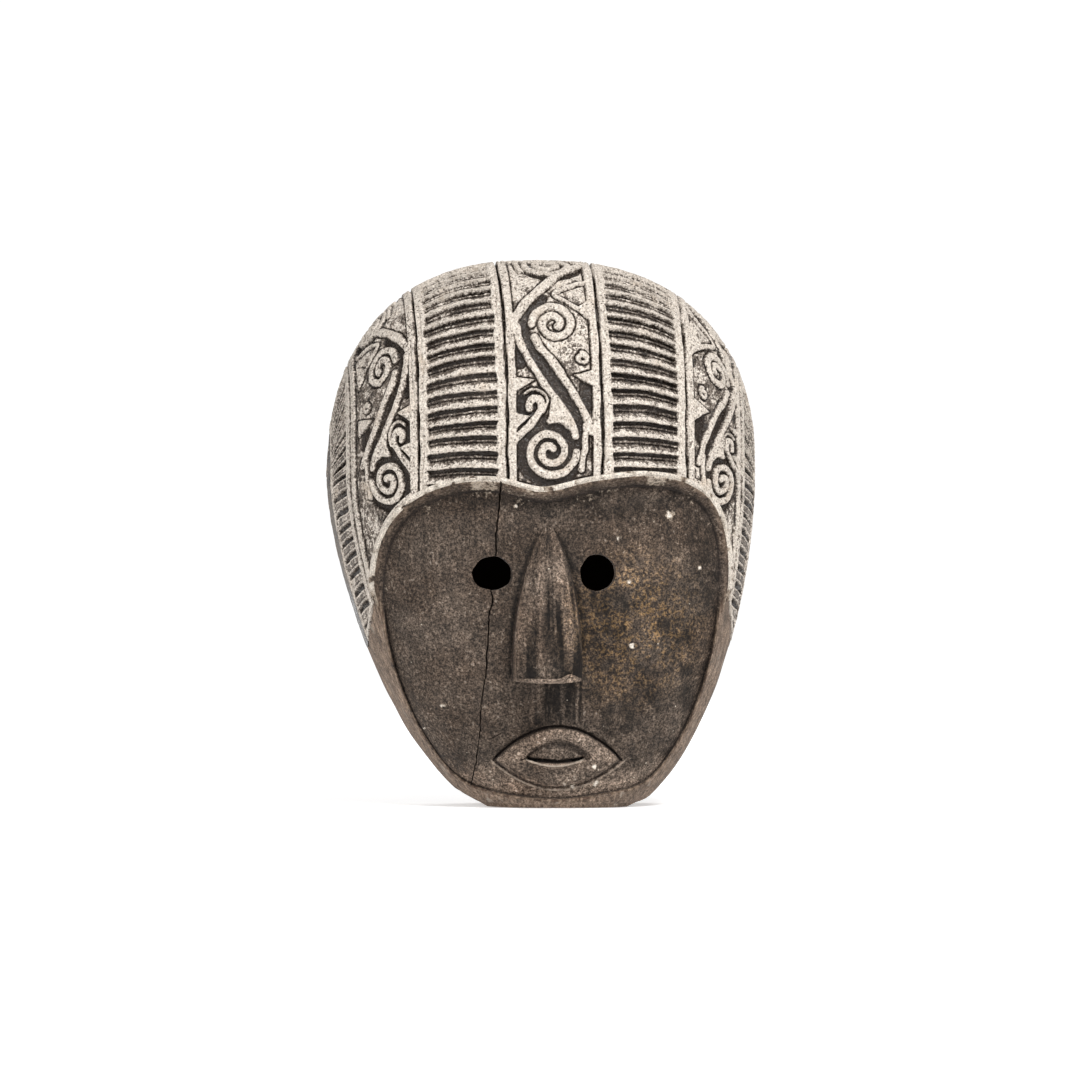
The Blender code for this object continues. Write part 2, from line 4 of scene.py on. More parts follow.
import bmesh
import bpy
import numpy as np
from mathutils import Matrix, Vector


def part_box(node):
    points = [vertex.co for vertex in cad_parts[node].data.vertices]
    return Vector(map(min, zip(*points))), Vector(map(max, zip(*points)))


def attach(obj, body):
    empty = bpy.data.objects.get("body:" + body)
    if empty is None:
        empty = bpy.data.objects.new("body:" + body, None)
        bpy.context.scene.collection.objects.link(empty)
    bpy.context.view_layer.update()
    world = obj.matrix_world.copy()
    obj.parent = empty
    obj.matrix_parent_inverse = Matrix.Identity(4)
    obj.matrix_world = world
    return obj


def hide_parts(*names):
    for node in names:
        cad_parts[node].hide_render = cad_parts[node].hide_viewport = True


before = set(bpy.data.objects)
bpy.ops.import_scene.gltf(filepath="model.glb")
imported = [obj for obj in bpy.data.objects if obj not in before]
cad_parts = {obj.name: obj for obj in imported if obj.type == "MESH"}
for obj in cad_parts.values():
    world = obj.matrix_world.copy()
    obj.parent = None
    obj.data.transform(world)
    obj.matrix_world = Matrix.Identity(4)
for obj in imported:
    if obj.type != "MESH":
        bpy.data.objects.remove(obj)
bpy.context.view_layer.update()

MM = 0.001

# ---- the block's shape, as in the CAD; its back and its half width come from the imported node's box
MASK_LOW, MASK_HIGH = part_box("carved_mask")
BACK_Y = MASK_HIGH[1]
HALF_WIDTH = (MASK_HIGH[0] - MASK_LOW[0]) / 2
CROWN_HEIGHT = 130 * MM  # of the dome, above the shoulder line
SHOULDER_Z = 190 * MM
CHIN_REACH = 206 * MM  # from the shoulder line down to where the jaw's outline would close
CHIN_DRIFT = 9 * MM  # how far the chin leans to the right
DOME_POWER = 2.4  # how square the dome's section is
CHEEK_POWER = 3.0  # the same of the cheeks
JAW_POWERS = (1.5, 2.3)  # the bend of the jaw's outline
BROW_DEPTH = 122 * MM  # all depths are measured from the back plane
FOOT_DEPTH = 80 * MM
CROWN_DEPTH = 50 * MM
BACK_EDGE_HEIGHT = 118 * MM  # of the dome at the back plane, above the shoulder line
CROWN_POWER = 2.6  # the bend of the dome's middle line
CROWN_DRIFT = -4.5 * MM  # the crown leans to the left
FACE_DEPTH = 112 * MM
FACE_FOOT_DEPTH = 75.5 * MM
RIM_WIDTH = 22 * MM
HOLLOW_DEPTH = 88 * MM
HOLLOW_FOOT_DEPTH = 52 * MM
HOLLOW_HEIGHT = 106 * MM
HOLLOW_FLOOR_Z = 24 * MM
HARDWARE_GAP = 0.3 * MM  # clearance round the hanging hardware
POCKET_TOP_Z = 228 * MM

# ---- carved bands: borders as shares of the half width
OUTER_BORDER = 0.902
BAND_BORDERS = (-OUTER_BORDER, -0.60, -0.20, 0.235, 0.63, OUTER_BORDER)
BAND_NAMES = ("scroll_left", "ladder_left", "scroll_middle", "ladder_right", "scroll_right")
RAIL_WIDTH = 5.4 * MM
RUNG_PITCH = 8.8 * MM
RIB_PITCH = 9.6 * MM
RIB_BAND_WIDTH = 38 * MM
EDGE_GAP = 3.0 * MM  # the carved surface stops this far in front of the back plane
SLAB_THICK = 8 * MM
SLAB_RATIO = 6  # a slab's carved side has this many points for each one of its hidden side

# ---- face plate edge as (x, z), anticlockwise from under the mouth
PLATE_EDGE = (
    (-4, 6.5), (30, 9), (60, 18), (82.5, 51), (96, 95), (99.5, 140), (94, 168), (80, 182),
    (55, 187), (25, 184), (-5, 178), (-35, 184), (-60, 181), (-80, 170), (-92, 150),
    (-94.5, 117), (-87, 80), (-70, 42), (-46, 15.5),
)
EYES = ((-33.4, 137.0, 11.5, 9.8), (27.7, 137.3, 10.4, 10.6))  # x, z, half width, half height
MOUTH = (5.6, 28.3)
NOSE_X = -1.3
NOSE_TOP_Z = 163.8
NOSE_BASE_Z = 76.5
MOUTH_HALF = 37.2
MOUTH_TOP = 19.3
MOUTH_LOW = 15.9
LIPS = (MOUTH[0] - 1.5, MOUTH[1] + 0.5)
LIP_HALF = 16.6

# ---- how finely the carved surfaces are drawn
FACE_RINGS = 150  # rings of points over the whole plate: its floor, its bevel and the lip of the brow
FLOOR_RINGS = 122
BEVEL_RINGS = 12
NOSE_ROWS = 220
NOSE_COLS = 150
BAND_STEP = 0.52 * MM
RIB_STEP = 0.62 * MM
JAW_STEP = 0.85 * MM


# ================================================================ numbers


def smooth(low, high, value):
    """0 below `low`, 1 above `high`, with an even ease between them."""
    t = np.clip((value - low) / (high - low), 0.0, 1.0)
    return t * t * (3.0 - 2.0 * t)


def noise(u, v, cell, seed):
    """Smooth random values from -1 to 1 over a plane, changing every `cell` metres."""
    side = 257
    lattice = np.random.default_rng(seed).uniform(-1.0, 1.0, (side, side))
    gu, gv = u / cell, v / cell
    iu, iv = np.floor(gu).astype(int), np.floor(gv).astype(int)
    fu, fv = gu - iu, gv - iv
    fu, fv = fu * fu * (3 - 2 * fu), fv * fv * (3 - 2 * fv)
    low = lattice[iu % side, iv % side] * (1 - fu) + lattice[(iu + 1) % side, iv % side] * fu
    high = lattice[iu % side, (iv + 1) % side] * (1 - fu) + lattice[(iu + 1) % side, (iv + 1) % side] * fu
    return low * (1 - fv) + high * fv


def layered(u, v, *layers):
    """A sum of noises, each given as (amount, cell in millimetres, seed)."""
    return sum(amount * noise(u, v, cell * MM, seed) for amount, cell, seed in layers)


def summed(steps):
    """The running total of the steps, from 0."""
    return np.concatenate([[0.0], np.cumsum(steps)])


def run_along(path):
    """Distance along a path at each of its points."""
    return summed(np.linalg.norm(np.diff(path, axis=0), axis=1))


def bell(value, middle, width):
    """1 at the middle, falling away within about the width on both sides."""
    return np.exp(-(((value - middle) / width) ** 2))


def unit(vectors):
    """The vectors at length 1."""
    return vectors / np.linalg.norm(vectors, axis=1, keepdims=True)


def distance_to(path, u, v):
    """Distance from each point (u, v) to a line through the path's points."""
    near = np.full(u.shape, 1.0)
    for (x0, y0), (x1, y1) in zip(path, path[1:]):
        dx, dy = x1 - x0, y1 - y0
        t = np.clip(((u - x0) * dx + (v - y0) * dy) / max(dx * dx + dy * dy, 1e-12), 0.0, 1.0)
        near = np.minimum(near, np.hypot(u - x0 - t * dx, v - y0 - t * dy))
    return near


def curve_through(points, steps=8, closed=False):
    """A Catmull-Rom curve through the points."""
    nodes = np.array(points, float)
    count = len(nodes)
    t = np.linspace(0.0, 1.0, steps, endpoint=False)[:, None]
    spans = count if closed else count - 1
    pick = (lambda i: i % count) if closed else (lambda i: min(max(i, 0), count - 1))
    curve = []
    for i in range(spans):
        a, b, c, d = (nodes[pick(i + k)] for k in (-1, 0, 1, 2))
        square, cube = 2 * a - 5 * b + 4 * c - d, 3 * b - a - 3 * c + d
        curve.append(0.5 * (2 * b + (c - a) * t + square * t**2 + cube * t**3))
    if not closed:
        curve.append(nodes[-1:])
    return np.concatenate(curve)


def spiral(centre, radius, start_deg, turns, shrink, clockwise=True):
    """A spiral from its outer end inwards; `shrink` is how much nearer each full turn comes."""
    swing = np.linspace(0.0, turns, int(28 * turns) + 2)
    angle = math.radians(start_deg) + (-1 if clockwise else 1) * 2 * math.pi * swing
    reach = radius - shrink * swing
    return np.stack([centre[0] + reach * np.cos(angle), centre[1] + reach * np.sin(angle)], -1)


# ================================================================ shape of the block


def arch(s, power):
    """A rounded arch over s from -1 to 1, 1 high in the middle."""
    return np.maximum(1.0 - np.abs(s) ** power, 0.0) ** (1.0 / power)


def below_shoulder(z):
    """0 at the shoulder line and above it, 1 at the foot."""
    return np.clip((SHOULDER_Z - z) / SHOULDER_Z, 0.0, 1.0)


def half_width(z):
    """The block's half width at a height."""
    drop = np.clip((SHOULDER_Z - z) / CHIN_REACH, 0.0, 1.0)
    return HALF_WIDTH * (1.0 - drop ** JAW_POWERS[0]) ** (1.0 / JAW_POWERS[1])


def centre_x(z):
    """The block's middle at a height; the chin leans."""
    return CHIN_DRIFT * below_shoulder(z) ** 1.3


def section_power(z):
    """How square the block's section is at a height."""
    blend = np.clip(2.0 * below_shoulder(z), 0.0, 1.0)
    return DOME_POWER + (CHEEK_POWER - DOME_POWER) * blend * blend * (3.0 - 2.0 * blend)


def depth_at(z, foot, brow):
    """Depth in the middle at a height, from that at the foot and at the brow."""
    return foot + (brow - foot) * (1.0 - below_shoulder(z) ** 1.75)


def dome_profile():
    """The dome's middle line as (run, depth, height), from the brow over the crown to the back."""
    turn = np.linspace(0.0, math.pi / 2, 400)
    depth = CROWN_DEPTH + (BROW_DEPTH - CROWN_DEPTH) * np.cos(turn) ** (2 / CROWN_POWER)
    height = CROWN_HEIGHT * np.sin(turn) ** (2 / CROWN_POWER)
    back = np.linspace(1.0, 0.0, 60)[1:] * CROWN_DEPTH
    back_height = CROWN_HEIGHT - (CROWN_HEIGHT - BACK_EDGE_HEIGHT) * (1.0 - back / CROWN_DEPTH) ** 2
    depth, height = np.concatenate([depth, back]), np.concatenate([height, back_height])
    return summed(np.hypot(np.diff(depth), np.diff(height))), depth, height


DOME_RUN, DOME_DEPTH, DOME_HEIGHT = dome_profile()


def crown_drift(height):
    """Sideways lean of the dome at a height above the shoulder line."""
    return CROWN_DRIFT * (height / CROWN_HEIGHT) ** 3


def block_point(s, v):
    """A point of the uncarved block: s across as a share of the half width, v along from the shoulder."""
    z = SHOULDER_Z + np.minimum(v, 0.0)
    reach = depth_at(z, FOOT_DEPTH, BROW_DEPTH) * arch(s, section_power(z))
    jaw = np.stack([centre_x(z) + half_width(z) * s, BACK_Y - reach, z], -1)
    depth = np.interp(v, DOME_RUN, DOME_DEPTH)
    height = np.interp(v, DOME_RUN, DOME_HEIGHT)
    rise = arch(s, DOME_POWER)
    x = HALF_WIDTH * s + crown_drift(height * rise)
    dome = np.stack([x, BACK_Y - depth * rise, SHOULDER_Z + height * rise], -1)
    return np.where((v < 0)[..., None], jaw, dome)


def surface_y(x, z, foot, brow):
    """The front of a body shaped like the block, at (x, z)."""
    share = np.clip((x - centre_x(z)) / half_width(z), -0.998, 0.998)
    return BACK_Y - depth_at(z, foot, brow) * arch(share, section_power(z))


def plate_y(x, z):
    """The front of the face plate."""
    return surface_y(x, z, FACE_FOOT_DEPTH, FACE_DEPTH)


def block_y(x, z):
    """The front of the uncarved block."""
    return surface_y(x, z, FOOT_DEPTH, BROW_DEPTH)


def normals(grid):
    """Unit vectors out of the wood at each grid point."""
    across = np.gradient(grid, axis=1)
    along = np.gradient(grid, axis=0)
    normal = np.cross(across, along)
    return normal / np.maximum(np.linalg.norm(normal, axis=-1, keepdims=True), 1e-12)


def even_shares(left, right, count):
    """Shares of the half width from left to right, evenly spaced over the surface at the shoulder."""
    line = np.linspace(-1, 1, 8001)
    fine = np.sign(line) * (1 - (1 - np.abs(line)) ** 3)
    fine = fine[(fine >= left) & (fine <= right)]
    fine = np.unique(np.concatenate([[left], fine, [right]]))
    run = summed(np.hypot(np.diff(HALF_WIDTH * fine), np.diff(BROW_DEPTH * arch(fine, DOME_POWER))))
    where = np.linspace(0.0, run[-1], count)
    return np.interp(where, run, fine), where


# ================================================================ meshes


def new_mesh(name, points, *face_sets):
    """A mesh from points and arrays of triangles or quads."""
    mesh = bpy.data.meshes.new(name)
    sizes = np.concatenate([np.full(len(faces), faces.shape[1]) for faces in face_sets])
    corners = np.concatenate([faces.ravel() for faces in face_sets]).astype(np.int32)
    mesh.vertices.add(len(points))
    mesh.vertices.foreach_set("co", np.asarray(points, np.float32).ravel())
    mesh.loops.add(len(corners))
    mesh.loops.foreach_set("vertex_index", corners)
    mesh.polygons.add(len(sizes))
    mesh.polygons.foreach_set("loop_start", (np.cumsum(sizes) - sizes).astype(np.int32))
    mesh.update(calc_edges=True)
    mesh.validate()
    return mesh


def add_value(mesh, name, values):
    """Gives every point of a mesh a number that its material reads."""
    layer = mesh.attributes.new(name, "FLOAT", "POINT")
    layer.data.foreach_set("value", np.asarray(values, np.float32).ravel())


def place(name, data, finish=None):
    """A new object in the scene, with a material if one is given."""
    obj = bpy.data.objects.new(name, data)
    bpy.context.scene.collection.objects.link(obj)
    if finish:
        data.materials.clear()
        data.materials.append(finish)
    return obj


def border(index):
    """A grid's border, anticlockwise seen from outside."""
    return np.concatenate([index[0, :-1], index[:-1, -1], index[-1, :0:-1], index[:0:-1, 0]])


def bridge(fine, coarse, ratio):
    """Wall triangles between a fine closed border and one with a point for every `ratio` of its."""
    walls = []
    total = len(fine)
    half = ratio // 2
    for j in range(len(coarse)):
        here, after = coarse[j], coarse[(j + 1) % len(coarse)]
        for k in range(ratio):
            i = j * ratio + k
            walls.append((fine[(i + 1) % total], fine[i], here if k < half else after))
        walls.append((fine[(j * ratio + half) % total], here, after))
    return np.array(walls)


def quads_of(index):
    """The quads of a grid of point numbers."""
    return np.stack([index[:-1, :-1], index[:-1, 1:], index[1:, 1:], index[1:, :-1]], -1).reshape(-1, 4)


def closed_slab(name, outer, inner, ratio, values):
    """A closed body from a fine outer grid and an inner grid `ratio` times coarser."""
    rows, cols = outer.shape[:2]
    low_rows, low_cols = inner.shape[:2]
    fine = np.arange(rows * cols).reshape(rows, cols)
    coarse = rows * cols + np.arange(low_rows * low_cols).reshape(low_rows, low_cols)
    points = np.concatenate([outer.reshape(-1, 3), inner.reshape(-1, 3)])
    walls = bridge(border(fine), border(coarse), ratio)
    mesh = new_mesh(name, points, quads_of(fine), quads_of(coarse)[:, ::-1], walls)
    for label, value in values.items():
        add_value(mesh, label, np.concatenate([value.ravel(), np.zeros(low_rows * low_cols)]))
    return mesh


def boolean(obj, cutter, operation):
    """Applies a Boolean at once and removes its cutter."""
    step = obj.modifiers.new("step", "BOOLEAN")
    step.operation = operation
    step.object = cutter
    step.solver = "MANIFOLD"
    graph = bpy.context.evaluated_depsgraph_get()
    made = bpy.data.meshes.new_from_object(obj.evaluated_get(graph))
    obj.modifiers.remove(step)
    before, obj.data = obj.data, made
    made.name = obj.name
    bpy.data.meshes.remove(before)
    bpy.data.objects.remove(cutter, do_unlink=True)


def lofted(name, sections):
    """A closed body through sections with the same number of points, as an object."""
    sections = np.array(sections)
    count, around = sections.shape[:2]
    index = np.arange(count * around).reshape(count, around)
    index = np.concatenate([index, index[:, :1]], axis=1)
    sides = quads_of(index)
    caps = [index[0, -2::-1], index[-1, :-1]]
    points = sections.reshape(-1, 3)
    mesh = bpy.data.meshes.new(name)
    faces = [tuple(map(int, face)) for face in sides] + [tuple(map(int, cap)) for cap in caps]
    mesh.from_pydata([tuple(point) for point in points], [], faces)
    return place(name, facing_out(mesh))


def facing_out(mesh):
    """Turns a closed mesh's faces outwards."""
    mesh.calc_loop_triangles()
    corners = ([mesh.vertices[i].co for i in tri.vertices] for tri in mesh.loop_triangles)
    if sum(a.cross(b).dot(c) for a, b, c in corners) < 0:
        mesh.flip_normals()
    return mesh


def rod(name, radius, start, length, axis, sides=48):
    """A round rod along one axis."""
    turn = np.linspace(0.0, 2 * math.pi, sides, endpoint=False)
    ring = np.zeros((sides, 3))
    ring[:, (axis + 1) % 3] = radius * np.cos(turn)
    ring[:, (axis + 2) % 3] = radius * np.sin(turn)
    far = np.zeros(3)
    far[axis] = length
    return lofted(name, [np.array(start) + ring, np.array(start) + ring + far])


def box(name, low, high):
    """A block between two corners."""
    (x0, y0, z0), (x1, y1, z1) = low, high
    near = [(x0, y0, z0), (x1, y0, z0), (x1, y0, z1), (x0, y0, z1)]
    return lofted(name, [near, [(x, y1, z) for x, _, z in near]])


def finish_wood(obj, body="mask", sharp_deg=48):
    """Smooths a wooden piece and puts it on its body."""
    obj.data.shade_smooth()
    obj.data.set_sharp_from_angle(angle=math.radians(sharp_deg))
    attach(obj, body)
    return obj


# ================================================================ materials


class Nodes:
    """A small helper for building one node material."""

    def __init__(self, name, roughness, metallic=0.0, specular=0.5):
        self.material = bpy.data.materials.new(name)
        self.material.use_nodes = True
        self.tree = self.material.node_tree
        self.shader = self.tree.nodes["Principled BSDF"]
        self.shader.inputs["Metallic"].default_value = metallic
        self.shader.inputs["Roughness"].default_value = roughness
        self.shader.inputs["Specular IOR Level"].default_value = specular
        self.coords = self.tree.nodes.new("ShaderNodeTexCoord").outputs["Object"]

    def link(self, source, target):
        """Feeds an input from a number, a colour or another node."""
        if isinstance(source, (int, float)):
            target.default_value = source
        elif isinstance(source, tuple):
            target.default_value = (*source, 1.0) if len(target.default_value) == 4 else source
        else:
            self.tree.links.new(source, target)

    def math(self, operation, a, b=0.0):
        node = self.tree.nodes.new("ShaderNodeMath")
        node.operation = operation
        self.link(a, node.inputs[0])
        self.link(b, node.inputs[1])
        return node.outputs[0]

    def plus(self, a, b):
        return self.math("ADD", a, b)

    def minus(self, a, b):
        return self.math("SUBTRACT", a, b)

    def times(self, a, b):
        return self.math("MULTIPLY", a, b)

    def sway(self, value, amount):
        """A noise centred on 0 and scaled."""
        return self.times(self.minus(value, 0.5), amount)

    def noise(self, scale, stretch=(1, 1, 1), detail=4.0, rough=0.55, distortion=0.0):
        mapping = self.tree.nodes.new("ShaderNodeMapping")
        mapping.inputs["Scale"].default_value = stretch
        self.link(self.coords, mapping.inputs["Vector"])
        node = self.tree.nodes.new("ShaderNodeTexNoise")
        node.inputs["Scale"].default_value = scale
        node.inputs["Detail"].default_value = detail
        node.inputs["Roughness"].default_value = rough
        node.inputs["Distortion"].default_value = distortion
        self.link(mapping.outputs[0], node.inputs["Vector"])
        return node.outputs["Fac"]

    def specks(self, scale, size):
        """1 inside small scattered dots and 0 elsewhere."""
        node = self.tree.nodes.new("ShaderNodeTexVoronoi")
        node.inputs["Scale"].default_value = scale
        self.link(self.coords, node.inputs["Vector"])
        return self.span(node.outputs["Distance"], size, size * 0.6)

    def attribute(self, name):
        node = self.tree.nodes.new("ShaderNodeAttribute")
        node.attribute_name = name
        return node.outputs["Fac"]

    def span(self, value, low, high):
        """Maps low..high onto 0..1, eased and clamped; low may be above high."""
        node = self.tree.nodes.new("ShaderNodeMapRange")
        node.interpolation_type = "SMOOTHSTEP"
        self.link(value, node.inputs["Value"])
        self.limits(node, (low, high, 0.0, 1.0) if low < high else (high, low, 1.0, 0.0))
        return node.outputs["Result"]

    def limits(self, node, numbers):
        """Sets the ends of a map range node."""
        for name, number in zip(("From Min", "From Max", "To Min", "To Max"), numbers):
            node.inputs[name].default_value = number

    def scaled(self, colour, factor):
        """A colour multiplied by a value."""
        node = self.tree.nodes.new("ShaderNodeVectorMath")
        node.operation = "SCALE"
        self.link(colour, node.inputs[0])
        self.link(factor, node.inputs["Scale"])
        return node.outputs["Vector"]

    def tint(self, colour, value, low, high):
        """Multiplies a colour by low..high as a noise goes from its usual lowest to its usual highest."""
        scale = self.tree.nodes.new("ShaderNodeMapRange")
        self.link(value, scale.inputs["Value"])
        self.limits(scale, (0.33, 0.67, low, high))
        return self.scaled(colour, scale.outputs["Result"])

    def mix(self, share, a, b):
        """Colour a at share 0, colour b at share 1."""
        node = self.tree.nodes.new("ShaderNodeMix")
        node.data_type = "RGBA"
        self.link(share, node.inputs[0])
        self.link(a, node.inputs[6])
        self.link(b, node.inputs[7])
        return node.outputs[2]

    def near(self, centre, radius):
        """1 at a point, fading to 0 at the radius."""
        node = self.tree.nodes.new("ShaderNodeVectorMath")
        node.operation = "DISTANCE"
        self.link(self.coords, node.inputs[0])
        node.inputs[1].default_value = centre
        return self.span(node.outputs["Value"], radius, radius * 0.2)

    def arc(self, centre, half, rise, thick):
        """1 on a shallow arc seen from the front: its ends at `centre` height, its middle `rise` above."""
        split = self.tree.nodes.new("ShaderNodeSeparateXYZ")
        self.link(self.coords, split.inputs[0])
        across = self.math("DIVIDE", self.minus(split.outputs["X"], centre[0] * MM), half * MM)
        square = self.times(across, across)
        height = self.times(self.minus(1.0, square), rise * MM)
        off = self.minus(self.minus(split.outputs["Z"], centre[1] * MM), height)
        on = self.span(self.math("ABSOLUTE", off), thick * MM, 0.35 * thick * MM)
        return self.times(on, self.span(square, 1.0, 0.88))

    def finish(self, colour, roughness=None, bumps=()):
        """Wires up the shader and returns the material."""
        self.link(colour, self.shader.inputs["Base Color"])
        if roughness is not None:
            self.link(roughness, self.shader.inputs["Roughness"])
        normal = None
        for height, strength, reach in bumps:
            node = self.tree.nodes.new("ShaderNodeBump")
            node.inputs["Strength"].default_value = strength
            node.inputs["Distance"].default_value = reach
            self.link(height, node.inputs["Height"])
            if normal is not None:
                self.link(normal, node.inputs["Normal"])
            normal = node.outputs["Normal"]
        if normal is not None:
            self.link(normal, self.shader.inputs["Normal"])
        return self.material


GRAIN_RUN = (1.0, 1.0, 0.06)  # the grain runs up the block


def whitewashed_wood():
    """Relief rubbed with white: pale crests, grey-brown slopes and dark cuts."""
    n = Nodes("whitewashed_relief", 0.9, specular=0.25)
    wash = n.attribute("wash")
    broad = n.noise(55, detail=5, rough=0.6)
    fine = n.noise(640, detail=2, rough=0.6)
    grit = n.noise(1150, detail=1, rough=0.5)
    grain = n.noise(520, GRAIN_RUN, detail=3, rough=0.6)
    uneven = n.sway(broad, 0.9)
    for value, amount in ((fine, 0.85), (grit, 0.6), (grain, 0.5)):
        uneven = n.plus(uneven, n.sway(value, amount))
    level = n.plus(wash, uneven)
    dark = n.mix(broad, (0.014, 0.010, 0.008), (0.038, 0.028, 0.021))
    middle = n.mix(n.span(fine, 0.35, 0.65), (0.085, 0.066, 0.052), (0.21, 0.175, 0.145))
    pale = n.mix(n.span(fine, 0.34, 0.60), (0.38, 0.33, 0.28), (0.60, 0.54, 0.475))
    pale = n.mix(n.times(n.span(broad, 0.55, 0.75), 0.4), pale, (0.44, 0.34, 0.245))
    colour = n.mix(n.span(level, 0.16, 0.44), dark, middle)
    colour = n.mix(n.span(level, 0.46, 0.74), colour, pale)
    colour = n.tint(colour, grit, 0.70, 1.28)
    pits = n.times(n.specks(430, 0.30), n.span(broad, 0.36, 0.52))
    colour = n.mix(n.times(pits, 0.85), colour, (0.06, 0.045, 0.035))
    bumps = [(grain, 0.45, 0.0008), (fine, 0.8, 0.0009), (grit, 0.6, 0.0005)]
    return n.finish(colour, n.span(level, -0.5, 1.2), bumps)


def face_wood():
    """Dark, dull, handled wood with vertical grain, scuffs, specks of white and an ochre cheek, plus painted
    shade in the cuts and mouth lines and a painted highlight on the lower lip.
    """
    n = Nodes("dark_face_wood", 0.8, specular=0.22)
    wash = n.attribute("wash")
    rim = n.attribute("rim")
    cut_shade = n.attribute("cut_shade")
    broad = n.noise(24, detail=5, rough=0.6)
    cloud = n.noise(110, detail=4, rough=0.65)
    fine = n.noise(560, detail=2, rough=0.6)
    grit = n.noise(1150, detail=1, rough=0.5)
    grain = n.noise(420, GRAIN_RUN, detail=3, rough=0.6)
    colour = n.mix(n.span(broad, 0.35, 0.65), (0.047, 0.033, 0.024), (0.070, 0.053, 0.041))
    colour = n.tint(colour, cloud, 0.72, 1.30)
    colour = n.tint(colour, grain, 0.80, 1.20)
    colour = n.tint(colour, fine, 0.42, 1.60)
    colour = n.tint(colour, grit, 0.38, 1.66)
    pale = n.times(n.span(fine, 0.60, 0.72), n.span(cloud, 0.42, 0.62))
    colour = n.mix(n.times(pale, 0.8), colour, (0.24, 0.20, 0.165))
    ochre = n.times(n.near((0.050, -0.062, 0.105), 0.060), n.span(fine, 0.47, 0.60))
    ochre = n.times(ochre, n.span(cloud, 0.36, 0.56))
    colour = n.mix(n.times(ochre, 0.8), colour, n.tint((0.20, 0.118, 0.048), grit, 0.4, 1.6))
    # the tone attribute holds the wood's lighter and darker patches and also painted shade and painted
    # highlights round the nose, the mouth and under the brow
    colour = n.scaled(colour, n.plus(n.attribute("tone"), 1.0))
    brown = n.mix(n.span(grain, 0.38, 0.62), (0.075, 0.048, 0.034), (0.22, 0.16, 0.115))
    brown = n.tint(brown, fine, 0.55, 1.45)
    colour = n.mix(n.times(rim, n.span(cloud, 0.30, 0.52)), colour, brown)
    # painted shade: the cut shade attribute darkens grooves, the plate's edge and the nose's foot to near
    # black
    colour = n.mix(n.times(cut_shade, 0.92), colour, (0.010, 0.007, 0.006))
    # a pale line just under the mouth's lower outline
    pale_line_colour = n.tint((0.27, 0.215, 0.170), fine, 0.6, 1.4)
    lower_line = n.arc((MOUTH[0] + 0.6, MOUTH[1] + 0.9), 40.5, -18.6, 0.9)
    lower_line = n.times(lower_line, n.span(cloud, 0.36, 0.50))
    colour = n.mix(n.times(lower_line, 0.85), colour, pale_line_colour)
    # painted shade in the groove along the mouth's upper outline
    upper_groove_shade = n.arc((MOUTH[0], MOUTH[1] + 0.2), 37.6, 19.9, 0.8)
    colour = n.mix(n.times(upper_groove_shade, 0.9), colour, (0.012, 0.008, 0.006))
    # painted shade in the slit between the lips
    slit = n.arc((LIPS[0], MOUTH[1] + 1.1), LIP_HALF, -1.6, 1.15)
    colour = n.mix(slit, colour, (0.008, 0.006, 0.005))
    # painted highlight on the crescent along the lower lip
    crescent = n.arc((LIPS[0], MOUTH[1] + 0.9), 17.6, -4.3, 0.75)
    colour = n.mix(n.times(crescent, 0.9), colour, n.tint((0.42, 0.35, 0.285), fine, 0.7, 1.3))
    dots = n.times(n.specks(150, 0.085), n.span(broad, 0.52, 0.60))
    colour = n.mix(dots, colour, (0.55, 0.48, 0.39))
    chalk = n.plus(wash, n.sway(cloud, 0.9))
    chalk = n.plus(chalk, n.sway(fine, 1.1))
    chalk = n.times(n.span(chalk, 0.32, 0.62), n.span(wash, 0.02, 0.25))
    white = n.mix(n.span(wash, 0.45, 0.85), (0.30, 0.245, 0.19), (0.60, 0.54, 0.47))
    colour = n.mix(chalk, colour, n.tint(white, grit, 0.62, 1.30))
    bumps = [(grain, 0.5, 0.0008), (cloud, 0.4, 0.0012), (fine, 0.8, 0.0008), (grit, 0.6, 0.0004)]
    return n.finish(colour, n.span(cloud, -0.9, 0.95), bumps)


def brown_wood(name, dark, light, stretch):
    """Bare weathered wood with open grain."""
    n = Nodes(name, 0.85, specular=0.3)
    broad = n.noise(30, detail=5)
    cloud = n.noise(110, detail=7, rough=0.7)
    grain = n.noise(420, stretch, detail=6, rough=0.65, distortion=0.3)
    pore = n.noise(1000, stretch, detail=3, rough=0.7)
    grit = n.noise(900, detail=2, rough=0.6)
    colour = n.mix(n.span(grain, 0.35, 0.68), dark, light)
    colour = n.mix(n.times(n.span(broad, 0.45, 0.7), 0.5), colour, (0.085, 0.065, 0.050))
    colour = n.mix(n.times(n.span(pore, 0.56, 0.70), 0.7), colour, (0.035, 0.025, 0.018))
    colour = n.tint(colour, cloud, 0.65, 1.35)
    colour = n.tint(colour, grit, 0.50, 1.50)
    pale = n.times(n.span(n.noise(80, stretch, detail=6, rough=0.7), 0.56, 0.66), 0.6)
    colour = n.mix(pale, colour, (0.34, 0.29, 0.24))
    bumps = [(grain, 0.7, 0.0010), (pore, 0.5, 0.0004), (grit, 0.4, 0.0003)]
    return n.finish(colour, n.span(grain, -0.8, 1.0), bumps)


def dull_metal(name, colour, worn, roughness):
    """Dull, scratched metal with a few rust spots."""
    n = Nodes(name, roughness, 0.95)
    cloud = n.noise(420, detail=5)
    scratch = n.noise(1500, (0.1, 1, 1), detail=2)
    tone = n.mix(n.span(cloud, 0.4, 0.7), colour, worn)
    rust = n.span(n.noise(260, detail=6, rough=0.7), 0.62, 0.72)
    tone = n.mix(n.times(rust, 0.6), tone, (0.16, 0.075, 0.035))
    return n.finish(tone, n.span(scratch, -0.6, 1.3), [(scratch, 0.15, 0.0001), (cloud, 0.2, 0.0002)])


# ================================================================ relief of the cap

STRAND = 2.15 * MM  # half width of a raised strand
THIN = 1.25 * MM  # the same of a thin one
SCROLL_EYE = 22.4  # height of the lower spiral's centre in a scroll's own millimetres


